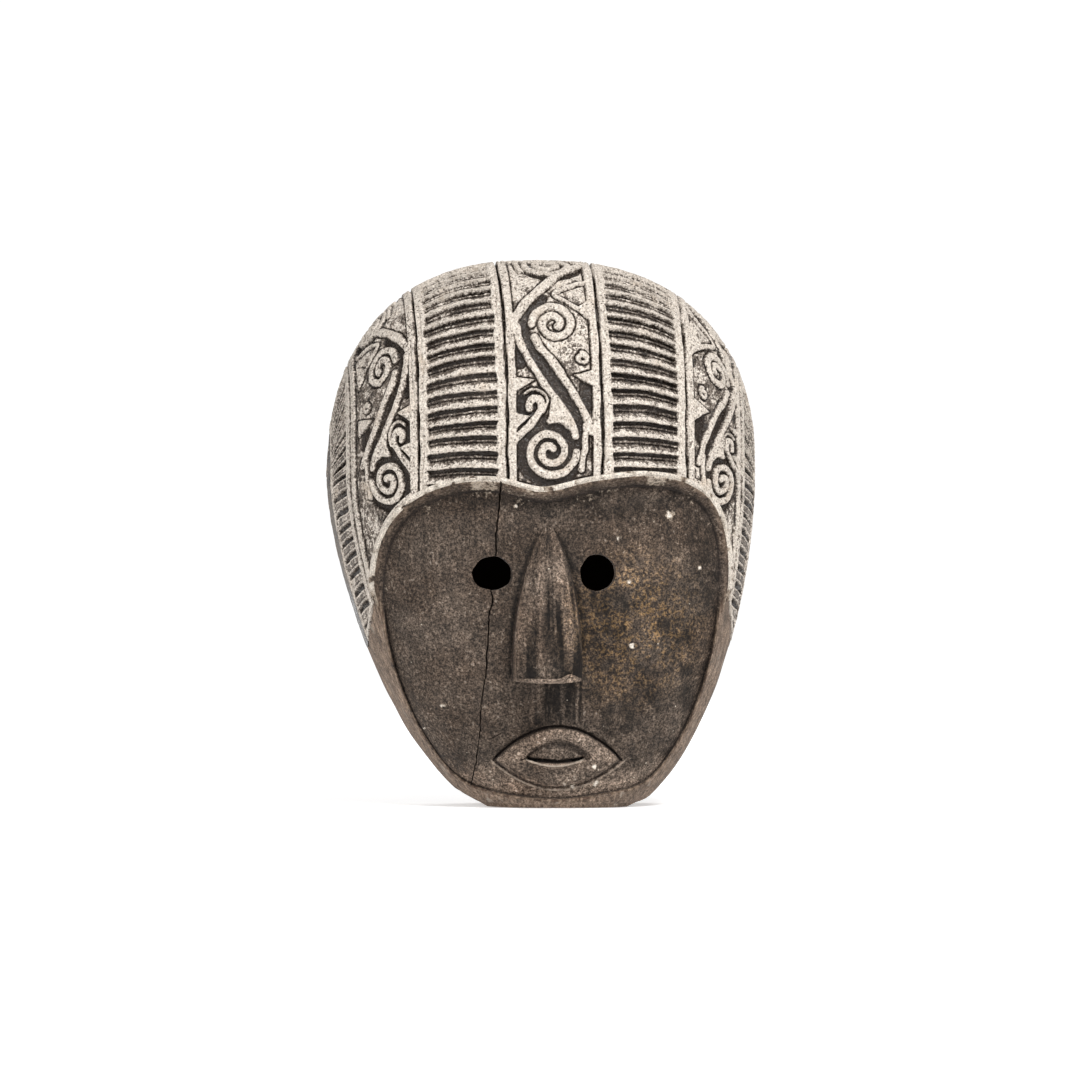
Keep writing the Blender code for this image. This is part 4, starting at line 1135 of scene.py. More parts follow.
def face_piece(finish):
    """The recessed plate with its bevel and the raised brow line, as one closed body."""
    steps = np.arange(2 * FACE_RINGS + 1) - FACE_RINGS
    i, j = np.meshgrid(steps, steps, indexing="ij")
    ring = np.maximum(np.abs(i), np.abs(j))
    # the position round the ring, from 0 to 8 k, starting at the middle of the lower side
    k = np.maximum(ring, 1)
    around = np.where(i == ring, 4 * k - j, 6 * k - i)
    around = np.where(i == -ring, j, np.where(j == ring, 2 * k + i, around))
    around = (around / (8.0 * k)) % 1.0
    around[ring == 0] = 0.0
    where = around * len(EDGE)
    first = np.floor(where).astype(int) % len(EDGE)
    part = (where - np.floor(where))[..., None]
    turn = lambda loop: loop[first] * (1 - part) + loop[(first + 1) % len(EDGE)] * part
    edge, lip, out = turn(EDGE), turn(LIP), turn(OUTWARD)
    upper = turn(UPPER[:, None])[..., 0]
    middle = EDGE.mean(axis=0)

    floor_share = np.clip(ring / FLOOR_RINGS, 0, 1)[..., None]
    bevel_share = np.clip((ring - FLOOR_RINGS) / BEVEL_RINGS, 0, 1)
    ridge_step = np.clip(ring - FLOOR_RINGS - BEVEL_RINGS, 0, None)
    ridge_count = FACE_RINGS - FLOOR_RINGS - BEVEL_RINGS
    ridge_share = ridge_step / ridge_count
    spot = middle + (edge - middle) * floor_share
    spot = np.where((ring > FLOOR_RINGS)[..., None], edge + (lip - edge) * bevel_share[..., None], spot)
    ridge_width = (0.6 + 1.7 * upper) * MM
    spot = spot + out * (ridge_width * smooth(0.0, 0.8, ridge_share))[..., None]
    x, z = spot[..., 0], spot[..., 1]

    proud, cut_shade, chalk, tone = plate_relief(x, z)
    on_floor = ring <= FLOOR_RINGS
    proud = proud * (1 - smooth(0.0, 0.3, bevel_share))
    floor_y = plate_y(x, z) - proud
    rise = smooth(-0.15, 0.9, bevel_share) * (bevel_share > 0)
    edge_noise = 0.7 * MM * noise(x, z, 5 * MM, 47) * bevel_share
    y = floor_y + (block_y(x, z) + edge_noise - floor_y) * rise
    crest = np.sin(math.pi * np.clip(ridge_share / 0.8, 0, 1)) ** 0.8
    chips = noise(x, z, 3.5 * MM, 53)
    worn = 0.8 + 0.4 * noise(x, z, 9 * MM, 54) - 0.5 * smooth(0.3, 0.7, chips)
    y -= upper * worn * 1.3 * MM * crest * (ring > FLOOR_RINGS)
    y -= 0.35 * MM * noise(x, z, 2.2 * MM, 48) * smooth(0.0, 0.5, bevel_share)
    y += 7 * MM * smooth(0.80, 1.0, ridge_share)

    line = 1.0 * (ring > FLOOR_RINGS + BEVEL_RINGS - 2)
    line = line * (0.78 + 0.20 * noise(x, z, 3 * MM, 50) - 0.35 * smooth(0.45, 0.8, chips))
    cover = np.interp(x / MM, COVE_PLACES, COVE_COVER)
    flakes = layered(x, z, (1, 6, 49), (0.5, 2.2, 52))
    plaster = smooth(0.30, 0.95, cover + 0.50 * flakes) * smooth(0.05, 0.3, bevel_share) * 0.55
    fall = np.linalg.norm(spot - edge, axis=-1)
    dust = 0.34 * (1 - smooth(0.0, 12 * MM, fall)) * smooth(-0.2, 0.5, flakes) * on_floor
    wash = upper * np.maximum(np.maximum(line, plaster), dust)
    wash = np.maximum(wash, chalk * on_floor)
    rim = (1 - upper) * smooth(0.2, 0.7, bevel_share) + upper * 0.45 * smooth(0.3, 0.8, bevel_share)
    # painted shade: a dark line round the foot of the bevel, where the brow and the rim step down to the
    # plate
    plate_edge_shade = bell(ring, FLOOR_RINGS + 1, 1.7) * (0.85 + 0.3 * noise(x, z, 8 * MM, 51))
    cut_shade = np.maximum(cut_shade * on_floor, np.clip(plate_edge_shade, 0, 1))

    outer = np.stack([x, y, z], -1)
    back = np.stack([x, plate_y(x, z) + 9 * MM, z], -1)
    shrink = 1.0 - 0.03 * (ring / FACE_RINGS)[..., None]
    back[..., [0, 2]] = middle + (back[..., [0, 2]] - middle) * shrink
    inner = back[::SLAB_RATIO, ::SLAB_RATIO]
    values = {"wash": wash, "rim": rim, "cut_shade": cut_shade, "tone": tone * on_floor}
    values = {label: value[:, ::-1] for label, value in values.items()}
    mesh = closed_slab("face_plate", outer[:, ::-1], inner[:, ::-1], SLAB_RATIO, values)
    obj = place("face_plate", mesh, finish)
    boolean(obj, nose_body(finish), "UNION")
    for side, (ex, ez, wide, high) in zip(("left", "right"), EYES):
        boolean(obj, eye_cutter(side, ex * MM, ez * MM, wide * MM, high * MM), "DIFFERENCE")
    for number, path in enumerate(CRACKS):
        boolean(obj, crack_cutter(f"crack_{number}", path), "DIFFERENCE")
    return finish_wood(obj, sharp_deg=40)


def eye_cutter(side, x, z, wide, high):
    """A hand-cut round hole, a little uneven, with a worn edge."""
    random = np.random.default_rng(7 if side == "left" else 8)
    count = 96
    turn = np.linspace(0.0, 2 * math.pi, count, endpoint=False)
    wobble = 1 + 0.02 * np.sin(3 * turn + random.uniform(0, 6))
    wobble = wobble + 0.015 * np.sin(7 * turn + random.uniform(0, 6))
    wobble = wobble + 0.006 * random.standard_normal(count)
    sections = []
    front = float(plate_y(x, z))
    for behind, grow in ((-20, 1.06), (-0.6, 1.03), (0.8, 1.0), (40, 0.97)):
        reach = wobble * grow
        y = np.full(count, front + behind * MM)
        sections.append(np.stack([x + wide * reach * np.cos(turn), y, z + high * reach * np.sin(turn)], -1))
    return lofted(f"eye_cutter_{side}", sections)


# drying cracks as (x, z, width)
CRACKS = (
    [(-29.0, 190, 0.5), (-29.2, 181, 1.0), (-29.8, 172, 0.9), (-31.2, 160, 0.8), (-31.4, 146, 0.7)],
    [
        (-34.5, 128, 0.7), (-33.2, 121, 0.9), (-35.0, 112, 0.8), (-35.8, 95, 0.8), (-37.0, 76, 0.8),
        (-38.6, 66, 0.7), (-39.4, 52, 0.6), (-40.2, 38, 0.5), (-41.8, 26, 0.6), (-43.4, 15, 0.5),
        (-44.2, 9, 0.4),
    ],
    [(-37.5, 41, 0.4), (-34.0, 40.5, 0.8), (-28.5, 43.5, 0.7), (-24.0, 45.5, 0.4)],
)


def crack_cutter(name, path):
    """A drying check: a thin, deep wedge that wanders down the grain."""
    line = curve_through(path, 7)
    random = np.random.default_rng(len(path))
    sections = []
    for x, z, width in line:
        x = x + 0.22 * random.standard_normal()
        half = 0.62 * width * MM * random.uniform(0.75, 1.25)
        front = float(plate_y(x * MM, z * MM))
        right = [(half * 1.3, front - 12 * MM), (half, front - 0.2 * MM), (0.05 * MM, front + 5 * MM)]
        outline = [(-right[0][0], right[0][1]), *right, *((-off, y) for off, y in right[:0:-1])]
        sections.append([(x * MM + off, y, z * MM) for off, y in outline])
    return lofted(name, sections)


# the rolled edge under the nose as (drop in millimetres, share of the nose's height)
NOSE_ROLL = ((0.3, 1.05), (0.9, 1.08), (1.7, 1.06), (2.5, 0.98), (3.0, 0.86), (2.9, 0.5), (2.4, 0.1))


def nose_body(finish):
    """The wedge of the nose: a broad fibrous front with a soft ridge, steep sides and a rolled lower edge."""
    rows, cols = NOSE_ROWS, NOSE_COLS
    u = np.linspace(-1.0, 1.0, cols)
    u = np.sign(u) * (1 - (1 - np.abs(u)) ** 1.25)
    middle = NOSE_X * MM
    top, base = NOSE_TOP_Z * MM, NOSE_BASE_Z * MM
    rim = 1 - np.abs(u)
    shares = np.linspace(0.0, 1.0, rows)
    sections, fibres = [], []
    for share in shares:
        z = top + (base - top) * share
        half = nose_half(share) * MM * (1 + 0.015 * math.sin(share * 9))
        proud = (0.8 + 21.2 * share**0.8) * MM
        x = middle + half * u
        flat = plate_y(x, z)
        side = smooth(0.0, 0.11, rim) ** 0.55
        facet = 0.60 + 0.40 * (1 - np.abs(u + 0.05) ** 1.3)
        seam = 0.05 - 0.22 * share + 0.05 * math.sin(share * 7)
        groove = 0.05 * bell(u, seam, 0.09) * smooth(0.02, 0.2, share) * smooth(1.0, 0.7, share)
        run = np.full_like(x, z)
        fan = u * 15 * MM
        fibre = 0.55 * noise(fan, run * 0.045, 1.0 * MM, 51) + 0.75 * noise(fan, run * 0.07, 2.6 * MM, 52)
        fibre += 0.5 * noise(fan, run * 0.3, 6 * MM, 55) + 0.25 * noise(fan, run * 0.5, 1.2 * MM, 56)
        height = proud * side * (facet - groove) + 0.75 * MM * fibre * side * smooth(0.03, 0.2, share)
        sections.append(np.stack([x, flat - height, np.full(cols, z)], -1))
        fibres.append(fibre - 9.0 * groove)
    grid, fibres = np.array(sections), np.array(fibres)
    lower = []
    bump = bell(u, 0.62, 0.22)
    for drop, keep in NOSE_ROLL:
        row = grid[-1].copy()
        flat = plate_y(row[:, 0], row[:, 2])
        row[:, 1] = flat + (row[:, 1] - flat) * keep
        row[:, 2] += MM * (2.6 * bump * (keep > 0.9) - drop * (0.55 + 0.45 * (1 - u**2)))
        lower.append(row)
    roll = len(lower)
    grid = np.concatenate([grid, np.array(lower)])[::-1]
    back = grid.copy()
    back[..., 1] = plate_y(back[..., 0], back[..., 2]) + 6 * MM
    rows = len(grid)
    fine = np.arange(rows * cols).reshape(rows, cols)
    low = fine + rows * cols
    walls = bridge(border(fine), border(low), 1)
    points = np.concatenate([grid.reshape(-1, 3), back.reshape(-1, 3)])
    mesh = new_mesh("nose", points, quads_of(fine), quads_of(low)[:, ::-1], walls)
    share = np.concatenate([np.full(roll, 1.0), shares[::-1]])[:, None]
    fibres = np.concatenate([np.full((roll, cols), 0.1), fibres[::-1]])
    # the pale left edge is a worn edge; the bright streak on the right flank is a painted highlight, and the
    # right upper facet is painted lighter as lit
    left_edge = bell(u, -0.93, 0.025)
    right_flank_highlight = bell(u, 0.90, 0.05) * bell(share, 0.56, 0.09)
    lit_right_facet = smooth(0.10, 0.35, u) * smooth(0.95, 0.8, u) * smooth(0.85, 0.35, share)
    tone = 1.10 * np.clip(fibres, -1.0, 1.2) - 0.10 + 1.4 * left_edge + 5.0 * right_flank_highlight + 0.5 * lit_right_facet
    tip = bell(u, 0.0, 0.3) * bell(share, 0.93, 0.06)
    tone = tone + 0.6 * tip * (noise(u * 15 * MM, share * 80 * MM, 1.6 * MM, 57) > 0.1)
    tone[:roll] = 1.35 + 0.6 * bump
    # painted shadow under the nose: the rows where its underside meets the plate are darkened here and in the
    # cut shade below
    tone[:2] = -0.5
    # painted shade along the nose's foot at both flanks and in its fibre grooves
    cut_shade = 0.85 * (1 - smooth(0.0, 0.05, rim)) * np.ones((rows, 1))
    cut_shade = np.maximum(cut_shade, 0.6 * smooth(-0.5, -1.2, fibres))
    cut_shade[:2] = 0.9
    none = np.zeros(rows * cols)
    values = (("wash", none), ("rim", none), ("cut_shade", cut_shade.ravel()), ("tone", np.clip(tone, -0.85, 5).ravel()))
    for label, value in values:
        add_value(mesh, label, np.concatenate([value, none]))
    return place("nose", mesh, finish)


# ---------------------------------------------------------------- jaw and back


def jaw_piece(finish):
    """The lower block outside the plate: the rim round the cheeks and chin, and the sides."""
    ratio = 4
    wide = even_shares(-S_END, S_END, 800)[1][-1]
    shares, across = even_shares(-S_END, S_END, even_count(wide, JAW_STEP, ratio))
    foot, top = 0.15 * MM, 162 * MM
    z = np.linspace(foot, top, even_count(top, JAW_STEP, ratio))[:, None]
    v = z - SHOULDER_Z + 0.0 * shares[None, :]
    s = np.broadcast_to(shares, v.shape)
    base = block_point(s, v)
    outward = normals(base)
    run = np.broadcast_to(across, v.shape)
    under_cap = smooth(-1.0 * MM, 1.5 * MM, v - cap_border(s))
    adze = 0.55 * MM * noise(run, v * 0.45, 11 * MM, 61) + 0.14 * MM * noise(run, v * 0.2, 3 * MM, 62)
    depth = 0.35 * MM + adze + 0.08 * MM * noise(run, v * 0.06, 1.4 * MM, 63)
    depth = depth + 5.0 * MM * under_cap
    toe = 2.2 * MM * (1 - smooth(0.0, 5 * MM, z + 0 * v)) ** 2
    outer = base - outward * (depth + toe)[..., None]
    outer[0, :, 2] = foot
    inner = (base - outward * (SLAB_THICK + 4 * MM))[::ratio, ::ratio]
    mesh = closed_slab("jaw_rim", outer, inner, ratio, {"wash": 0 * depth})
    obj = place("jaw_rim", mesh, finish)
    opening = LIP[::4] - OUTWARD[::4] * 0.4 * MM
    sections = [[(x, y, z) for x, z in opening] for y in (-0.2, BACK_Y - 12 * MM)]
    boolean(obj, lofted("face_opening", sections), "DIFFERENCE")
    for corner in chin_corners():
        boolean(obj, corner, "DIFFERENCE")
    return finish_wood(obj)


# the foot's worn corners as triangles of (x, z)
CHIN_CORNERS = (((-60, -4), (-26, -4), (-60, 14)), ((36, -4), (80, -4), (80, 12)))


def chin_corners():
    """Cutters for the wood worn off the corners of the foot."""
    made = []
    for number, outline in enumerate(CHIN_CORNERS):
        near = [(x * MM, -0.1, z * MM) for x, z in outline]
        made.append(lofted(f"chin_corner_{number}", [near, [(x, 0.1, z) for x, _, z in near]]))
    return made


def block_rows(shares, z_rows, dome_rows, foot, brow, width_less, height, past=0.0):
    """Grid rows of a body shaped like the block, for the core and for its hollow."""
    rows = []
    for z in z_rows:
        zz = np.full_like(shares, z)
        x = centre_x(zz) + (half_width(zz) - width_less) * shares
        y = BACK_Y + past - (depth_at(zz, foot, brow) + past) * arch(shares, section_power(zz))
        rows.append(np.stack([x, y, zz], -1))
    rise = arch(shares, DOME_POWER)
    for v in dome_rows:
        depth = float(np.interp(v, DOME_RUN, DOME_DEPTH)) * brow / BROW_DEPTH
        high = float(np.interp(v, DOME_RUN, DOME_HEIGHT)) * height / CROWN_HEIGHT
        deep = depth + past * (depth / brow)
        x = (HALF_WIDTH - width_less) * shares + crown_drift(high * rise)
        rows.append(np.stack([x, BACK_Y + past - deep * rise, SHOULDER_Z + high * rise], -1))
    return np.array(rows)


def closed_body(name, grid):
    """Closes a block-shaped grid with a flat bottom and a flat back."""
    rows, cols = grid.shape[:2]
    index = np.arange(rows * cols).reshape(rows, cols)
    faces = [tuple(map(int, quad)) for quad in quads_of(index)]
    faces.append(tuple(map(int, index[0, ::-1])))
    back = [*index[:, 0], *index[-1, 1:], *index[-2::-1, -1]]
    flat = grid.reshape(-1, 3)
    kept = [back[0]]
    for vertex in back[1:]:
        if np.linalg.norm(flat[vertex] - flat[kept[-1]]) > 1e-6:
            kept.append(vertex)
    faces.append(tuple(map(int, kept)))
    mesh = bpy.data.meshes.new(name)
    mesh.from_pydata([tuple(point) for point in flat], [], faces)
    work = bmesh.new()
    work.from_mesh(mesh)
    bmesh.ops.remove_doubles(work, verts=work.verts, dist=1e-6)
    bmesh.ops.recalc_face_normals(work, faces=work.faces)
    bmesh.ops.triangulate(work, faces=[face for face in work.faces if len(face.verts) > 4])
    work.to_mesh(mesh)
    work.free()
    return place(name, mesh)


def gouges(across, along, seed):
    """Long scooped tool marks, as a depth that is greatest in the middle of each."""
    width, length = 10.5 * MM, 38 * MM
    lane = across / width + 0.35 * noise(across, along, 40 * MM, seed)
    number = np.floor(lane).astype(int)
    offset = np.random.default_rng(seed + 1).uniform(0, 1, 64)[number % 64]
    stroke = along / length + offset + 0.2 * noise(across, along, 25 * MM, seed + 2)
    u, w = lane - number - 0.5, stroke - np.floor(stroke)
    return 1.5 * MM * (1 - 4 * u * u) + 0.9 * MM * w - 1.0 * MM


def core_piece(finish):
    """The block's inside: the hollow, the back rim with its hanger pockets, and the foot."""
    shares = arched_shares(61)
    z_rows = np.linspace(0.0, SHOULDER_Z, 40)
    dome_rows = np.linspace(0.0, DOME_RUN[-1], 50)[1:]
    grid = block_rows(shares, z_rows, dome_rows, FOOT_DEPTH, BROW_DEPTH, 0.0, CROWN_HEIGHT)
    outward = normals(grid)
    sunk = 0.5 * MM + 6.0 * MM * smooth(4 * MM, 11 * MM, BACK_Y - grid[..., 1])
    middle = EDGE.mean(axis=0)
    reach = np.hypot(*(LIP - middle).T)
    heading = np.arctan2(*(LIP - middle).T)
    order = np.argsort(heading)
    off_x, off_z = grid[..., 0] - middle[0], grid[..., 2] - middle[1]
    edge_reach = np.interp(np.arctan2(off_x, off_z), heading[order], reach[order], period=2 * math.pi)
    behind_face = 1 - smooth(-4 * MM, 6 * MM, np.hypot(off_x, off_z) - edge_reach)
    sunk = sunk + 8.5 * MM * behind_face * smooth(14 * MM, 22 * MM, BACK_Y - grid[..., 1])
    on_back = BACK_Y - grid[..., 1] < 0.01 * MM
    at_side = np.abs(shares) > 0.99999
    grid = grid - outward * sunk[..., None]
    trim = 0.5 * MM
    flat_rows = block_rows(shares, z_rows, dome_rows, FOOT_DEPTH, BROW_DEPTH, trim, CROWN_HEIGHT - trim)
    grid[on_back] = flat_rows[on_back]
    grid[:, at_side] = flat_rows[:, at_side]
    grid[on_back, 1] = BACK_Y
    grid[0, :, 2] = 0.0
    core = closed_body("mask_core", grid)
    core.data.materials.append(finish)
    boolean(core, hollow_cutter(), "DIFFERENCE")
    for side, (x, z, wide, _) in zip(("left", "right"), EYES):
        start = (x * MM, -0.12, z * MM)
        hole = rod(f"eye_{side}", (wide + 0.6) * MM, start, 0.12 + BACK_Y, 1, 64)
        boolean(core, hole, "DIFFERENCE")
    for name in ("left_hanger_strap", "right_hanger_strap"):
        boolean(core, pocket(name), "DIFFERENCE")
    for corner in chin_corners():
        boolean(core, corner, "DIFFERENCE")
    return finish_wood(core, sharp_deg=32)


def arched_shares(count):
    """Shares of the half width, closer together towards the sides."""
    turn = np.linspace(-math.pi / 2, math.pi / 2, count)
    return np.sign(np.sin(turn)) * np.abs(np.sin(turn)) ** (2 / DOME_POWER)


def hollow_cutter():
    """The gouged hollow, reaching a little past the back."""
    z_rows = np.linspace(HOLLOW_FLOOR_Z, SHOULDER_Z, 110)
    dome_rows = np.linspace(0.0, DOME_RUN[-1], 130)[1:]
    hollow = block_rows(
        arched_shares(181), z_rows, dome_rows,
        HOLLOW_FOOT_DEPTH, HOLLOW_DEPTH, RIM_WIDTH, HOLLOW_HEIGHT, past=6 * MM,
    )
    inward = normals(hollow)
    lane = np.broadcast_to(run_along(hollow[60]), hollow.shape[:2])
    climb = np.broadcast_to(run_along(hollow[:, 90])[:, None], lane.shape)
    inside = smooth(0.0, 14 * MM, BACK_Y - hollow[..., 1])
    hollow = hollow + inward * (gouges(lane, climb, 71) * inside)[..., None]
    hollow[0, :, 2] = HOLLOW_FLOOR_Z
    return closed_body("hollow_cutter", hollow)


def pocket(strap):
    """Cutter for the flat-bottomed pocket that a strap sits in, open to the hollow."""
    low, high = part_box(strap)
    middle = (low[0] + high[0]) / 2
    side = math.copysign(1.0, middle)
    x0, x1 = sorted((middle - side * 21.5 * MM, middle + side * 9.5 * MM))
    near = (x0, low[1] - HARDWARE_GAP, low[2] - 4 * MM)
    return box(f"pocket_{strap}", near, (x1, BACK_Y + 6 * MM, POCKET_TOP_Z))


# ================================================================ hanging hardware

RING_WIRE = 1.2 * MM
STRAP_THICK = 1.2 * MM
ROLL_R = RING_WIRE + HARDWARE_GAP + STRAP_THICK / 2  # middle line of the strap's rolled end
RING_CORNER = 1.8 * MM
RING_SPRING = 4.5 * MM
WIRE_R = 0.6 * MM
STRAND_R = 0.3 * MM
LAY = 3.4 * MM  # length of one full twist of the wire's strands
TAIL_R = 0.42 * MM
TAIL_TURNS = 7
SCREW_R = 1.5 * MM
SCREW_HOLE_R = 1.9 * MM
SCREW_HEAD = 1.9 * MM
SCREW_TIP_R = 0.05 * MM
SCREW_POINT = 3 * MM
THREAD_CUT = 0.42 * MM
RECESS_DEPTH = 1.0 * MM


def frames_along(path):
    """Two directions across a path at each of its points, turning as little as possible."""
    ahead = unit(np.gradient(path, axis=0))
    side = np.cross(ahead[0], (0.31, 0.52, 0.79))
    sides, ups = [], []
    for forward in ahead:
        side = side - forward * float(side @ forward)
        side /= np.linalg.norm(side)
        sides.append(side)
        ups.append(np.cross(forward, side))
    return np.array(sides), np.array(ups)


def tube(name, path, radius, sides):
    """A round wire along an open path, with flat ends."""
    path = np.array(path)
    across, up = frames_along(path)
    turn = np.linspace(0.0, 2 * math.pi, sides, endpoint=False)
    off = np.cos(turn)[:, None] * across[:, None] + np.sin(turn)[:, None] * up[:, None]
    return lofted(name, path[:, None] + radius * off)


def dress(obj, body, node, finish, sharp_deg=35):
    """Gives a finished piece its material and its body, and hides the CAD node it stands for."""
    obj.data.materials.clear()
    obj.data.materials.append(finish)
    obj.data.shade_smooth()
    obj.data.set_sharp_from_angle(angle=math.radians(sharp_deg))
    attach(obj, body)
    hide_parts(node)
    return obj


def joined(objects, name):
    """Joins closed bodies into one object."""
    target = objects[0]
    with bpy.context.temp_override(active_object=target, selected_editable_objects=objects):
        bpy.ops.object.join()
    target.name = name
    target.data.name = name
    return target


def hinge_of(side):
    """Where a ring's straight side turns: its middle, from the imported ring's box."""
    low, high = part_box(f"{side}_hanger_ring")
    return np.array([(low[0] + high[0]) / 2, (low[1] + high[1]) / 2, low[2] + RING_WIRE])


def strap_piece(side, finish):
    """A stamped strap with a round lower end, its upper end rolled round the ring's straight side."""
    low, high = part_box(f"{side}_hanger_strap")
    hinge = hinge_of(side)
    half = (high[0] - low[0]) / 2
    line = [(-ROLL_R, z) for z in np.linspace(low[2] - hinge[2], 0.0, 60)]
    curl = np.radians(np.linspace(174, -104, 48))
    line += [(ROLL_R * math.cos(a), ROLL_R * math.sin(a)) for a in curl]
    line = np.array(line)
    ahead = unit(np.gradient(line, axis=0))
    out = np.stack([-ahead[:, 1], ahead[:, 0]], -1)
    corner, tip = 0.22 * MM, 0.3 * MM
    thick = STRAP_THICK / 2
    sections = []
    for (y, z), (ny, nz) in zip(line, out):
        from_end = z - line[0, 1] if y <= -ROLL_R else half
        short = max(half - from_end, 0.0)
        wide = max(math.sqrt(max(half * half - short * short, 0.0)), tip)
        trim = min(corner, wide / 2)
        outline = [(wide, corner - thick), (wide, thick - corner), (wide - trim, thick), (trim - wide, thick)]
        outline += [(-x, -h) for x, h in outline]
        sections.append([(hinge[0] + x, hinge[1] + y + ny * h, hinge[2] + z + nz * h) for x, h in outline])
    strap = lofted(f"{side}_strap_plate", sections)
    for place_name in ("lower", "upper"):
        screw_low, screw_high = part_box(f"{side}_{place_name}_screw")
        x, z = ((screw_low[k] + screw_high[k]) / 2 for k in (0, 2))
        hole = rod(f"hole_{place_name}", SCREW_HOLE_R, (x, low[1] - 2 * MM, z), 6 * MM, 1, 32)
        boolean(strap, hole, "DIFFERENCE")
    return dress(strap, "mask", f"{side}_hanger_strap", finish)


def ring_piece(side, finish):
    """A D-ring of round wire: a straight side in the strap, two corners and an arched top."""
    low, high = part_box(f"{side}_hanger_ring")
    wide = (high[0] - low[0]) / 2 - RING_WIRE
    tall = high[2] - low[2] - 2 * RING_WIRE
    inner = wide - RING_CORNER
    quarter = np.linspace(0, math.pi / 2, 12)
    right = [(inner + RING_CORNER * math.sin(a), RING_CORNER - RING_CORNER * math.cos(a)) for a in quarter]
    half_turn = np.linspace(0, math.pi, 60)
    top = [(wide * math.cos(a), RING_SPRING + (tall - RING_SPRING) * math.sin(a)) for a in half_turn]
    left = [(-x, z) for x, z in reversed(right)]
    base = [(x, 0.0) for x in np.linspace(-inner, inner, 14)[1:-1]]
    path = np.array([(x, 0.0, z) for x, z in [*right, *top[1:-1], *left, *base]])
    mesh = swept(f"{side}_ring_wire", path + hinge_of(side), RING_WIRE, 20)
    ring = place(f"{side}_ring_wire", mesh)
    return dress(ring, f"{side}_ring", f"{side}_hanger_ring", finish)


def screw_piece(side, where, finish):
    """A small pan-head screw with a cross recess."""
    node = f"{side}_{where}_screw"
    low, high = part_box(node)
    x, z = (low[0] + high[0]) / 2, (low[2] + high[2]) / 2
    radius = (high[0] - low[0]) / 2
    under = high[1] - SCREW_HEAD
    crown = [(math.cos(a), 0.35 + 0.65 * math.sin(a)) for a in np.linspace(0, 1.45, 12)]
    dome = [(radius * out, under + SCREW_HEAD * up) for out, up in crown]
    profile = [(SCREW_TIP_R, high[1]), *reversed(dome), (radius, under), (SCREW_R, under)]
    shank = np.linspace(under, low[1] + SCREW_POINT, 40)[1:]
    profile += [(SCREW_R - THREAD_CUT * (k % 2), y) for k, y in enumerate(shank)]
    profile += [(SCREW_TIP_R, low[1])]
    turn = np.linspace(0.0, 2 * math.pi, 40, endpoint=False)
    sections = [[(x + r * math.cos(a), y, z + r * math.sin(a)) for a in turn] for r, y in profile]
    made = lofted(f"{side}_{where}_screw_body", sections)
    arm, half = 1.7 * MM, 0.36 * MM
    for wide, tall in ((arm, half), (half, arm)):
        near = (x - wide, high[1] - RECESS_DEPTH, z - tall)
        cutter = box("recess", near, (x + wide, high[1] + 3 * MM, z + tall))
        boolean(made, cutter, "DIFFERENCE")
    return dress(made, "mask", node, finish)


def wire_span(x, reach, rise):
    """Height of the wire's bow above its ends."""
    return rise * (1.0 - (x / reach) ** 2)


def wire_piece(finish):
    """Twisted picture wire: a bowed span, a loop round each ring and the tails wrapped back over the span."""
    left, right = hinge_of("left"), hinge_of("right")
    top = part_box("left_hanger_ring")[1][2] - RING_WIRE
    reach = (right[0] - left[0]) / 2
    loop_r = RING_WIRE + HARDWARE_GAP + WIRE_R
    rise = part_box("hanging_wire")[1][2] - top - loop_r - WIRE_R
    centre = np.array([(left[0] + right[0]) / 2, left[1], top])
    lead = 0.8 * MM
    ends = []
    for side in (-1, 1):
        share = np.linspace(0.0, 1.0, 60)
        angle = math.pi / 2 - 2 * math.pi * share
        x = side * (reach + lead - 2 * lead * share)
        ends.append(np.stack([x, loop_r * np.cos(angle), loop_r * np.sin(angle)], -1))
    across = np.linspace(-reach + 2.5 * MM, reach - 2.5 * MM, 640)
    span = np.stack([across, 0 * across, loop_r + wire_span(across, reach, rise)], -1)
    path = np.concatenate([ends[0][:-1], span, ends[1][-2::-1]]) + centre
    side_way, up_way = frames_along(path)
    run = run_along(path)
    shells = []
    for strand in range(4):
        phase = 2 * math.pi * (run / LAY + strand / 4)
        off = (WIRE_R - STRAND_R) * (np.cos(phase)[:, None] * side_way + np.sin(phase)[:, None] * up_way)
        shells.append(tube(f"strand_{strand}", path + off, STRAND_R, 6))
    for side in (-1, 1):
        turns = np.linspace(0.0, TAIL_TURNS, TAIL_TURNS * 16 + 1)
        pitch = (1.25 + 0.25 * np.sin(turns * 1.7)) * MM
        x = reach - 3.2 * MM - np.cumsum(np.full_like(turns, 1 / 16)) * pitch
        angle = 2 * math.pi * turns
        spread = 2 * WIRE_R - 0.25 * MM + 0.25 * MM * np.clip(turns - TAIL_TURNS + 1, 0, 1)
        height = loop_r + wire_span(x, reach, rise)
        tail = np.stack([side * x, spread * np.cos(angle), height + spread * np.sin(angle)], -1) + centre
        shells.append(tube(f"tail_{side}", tail, TAIL_R, 8))
    wire = joined(shells, "twisted_wire")
    return dress(wire, "wire", "hanging_wire", finish, 60)


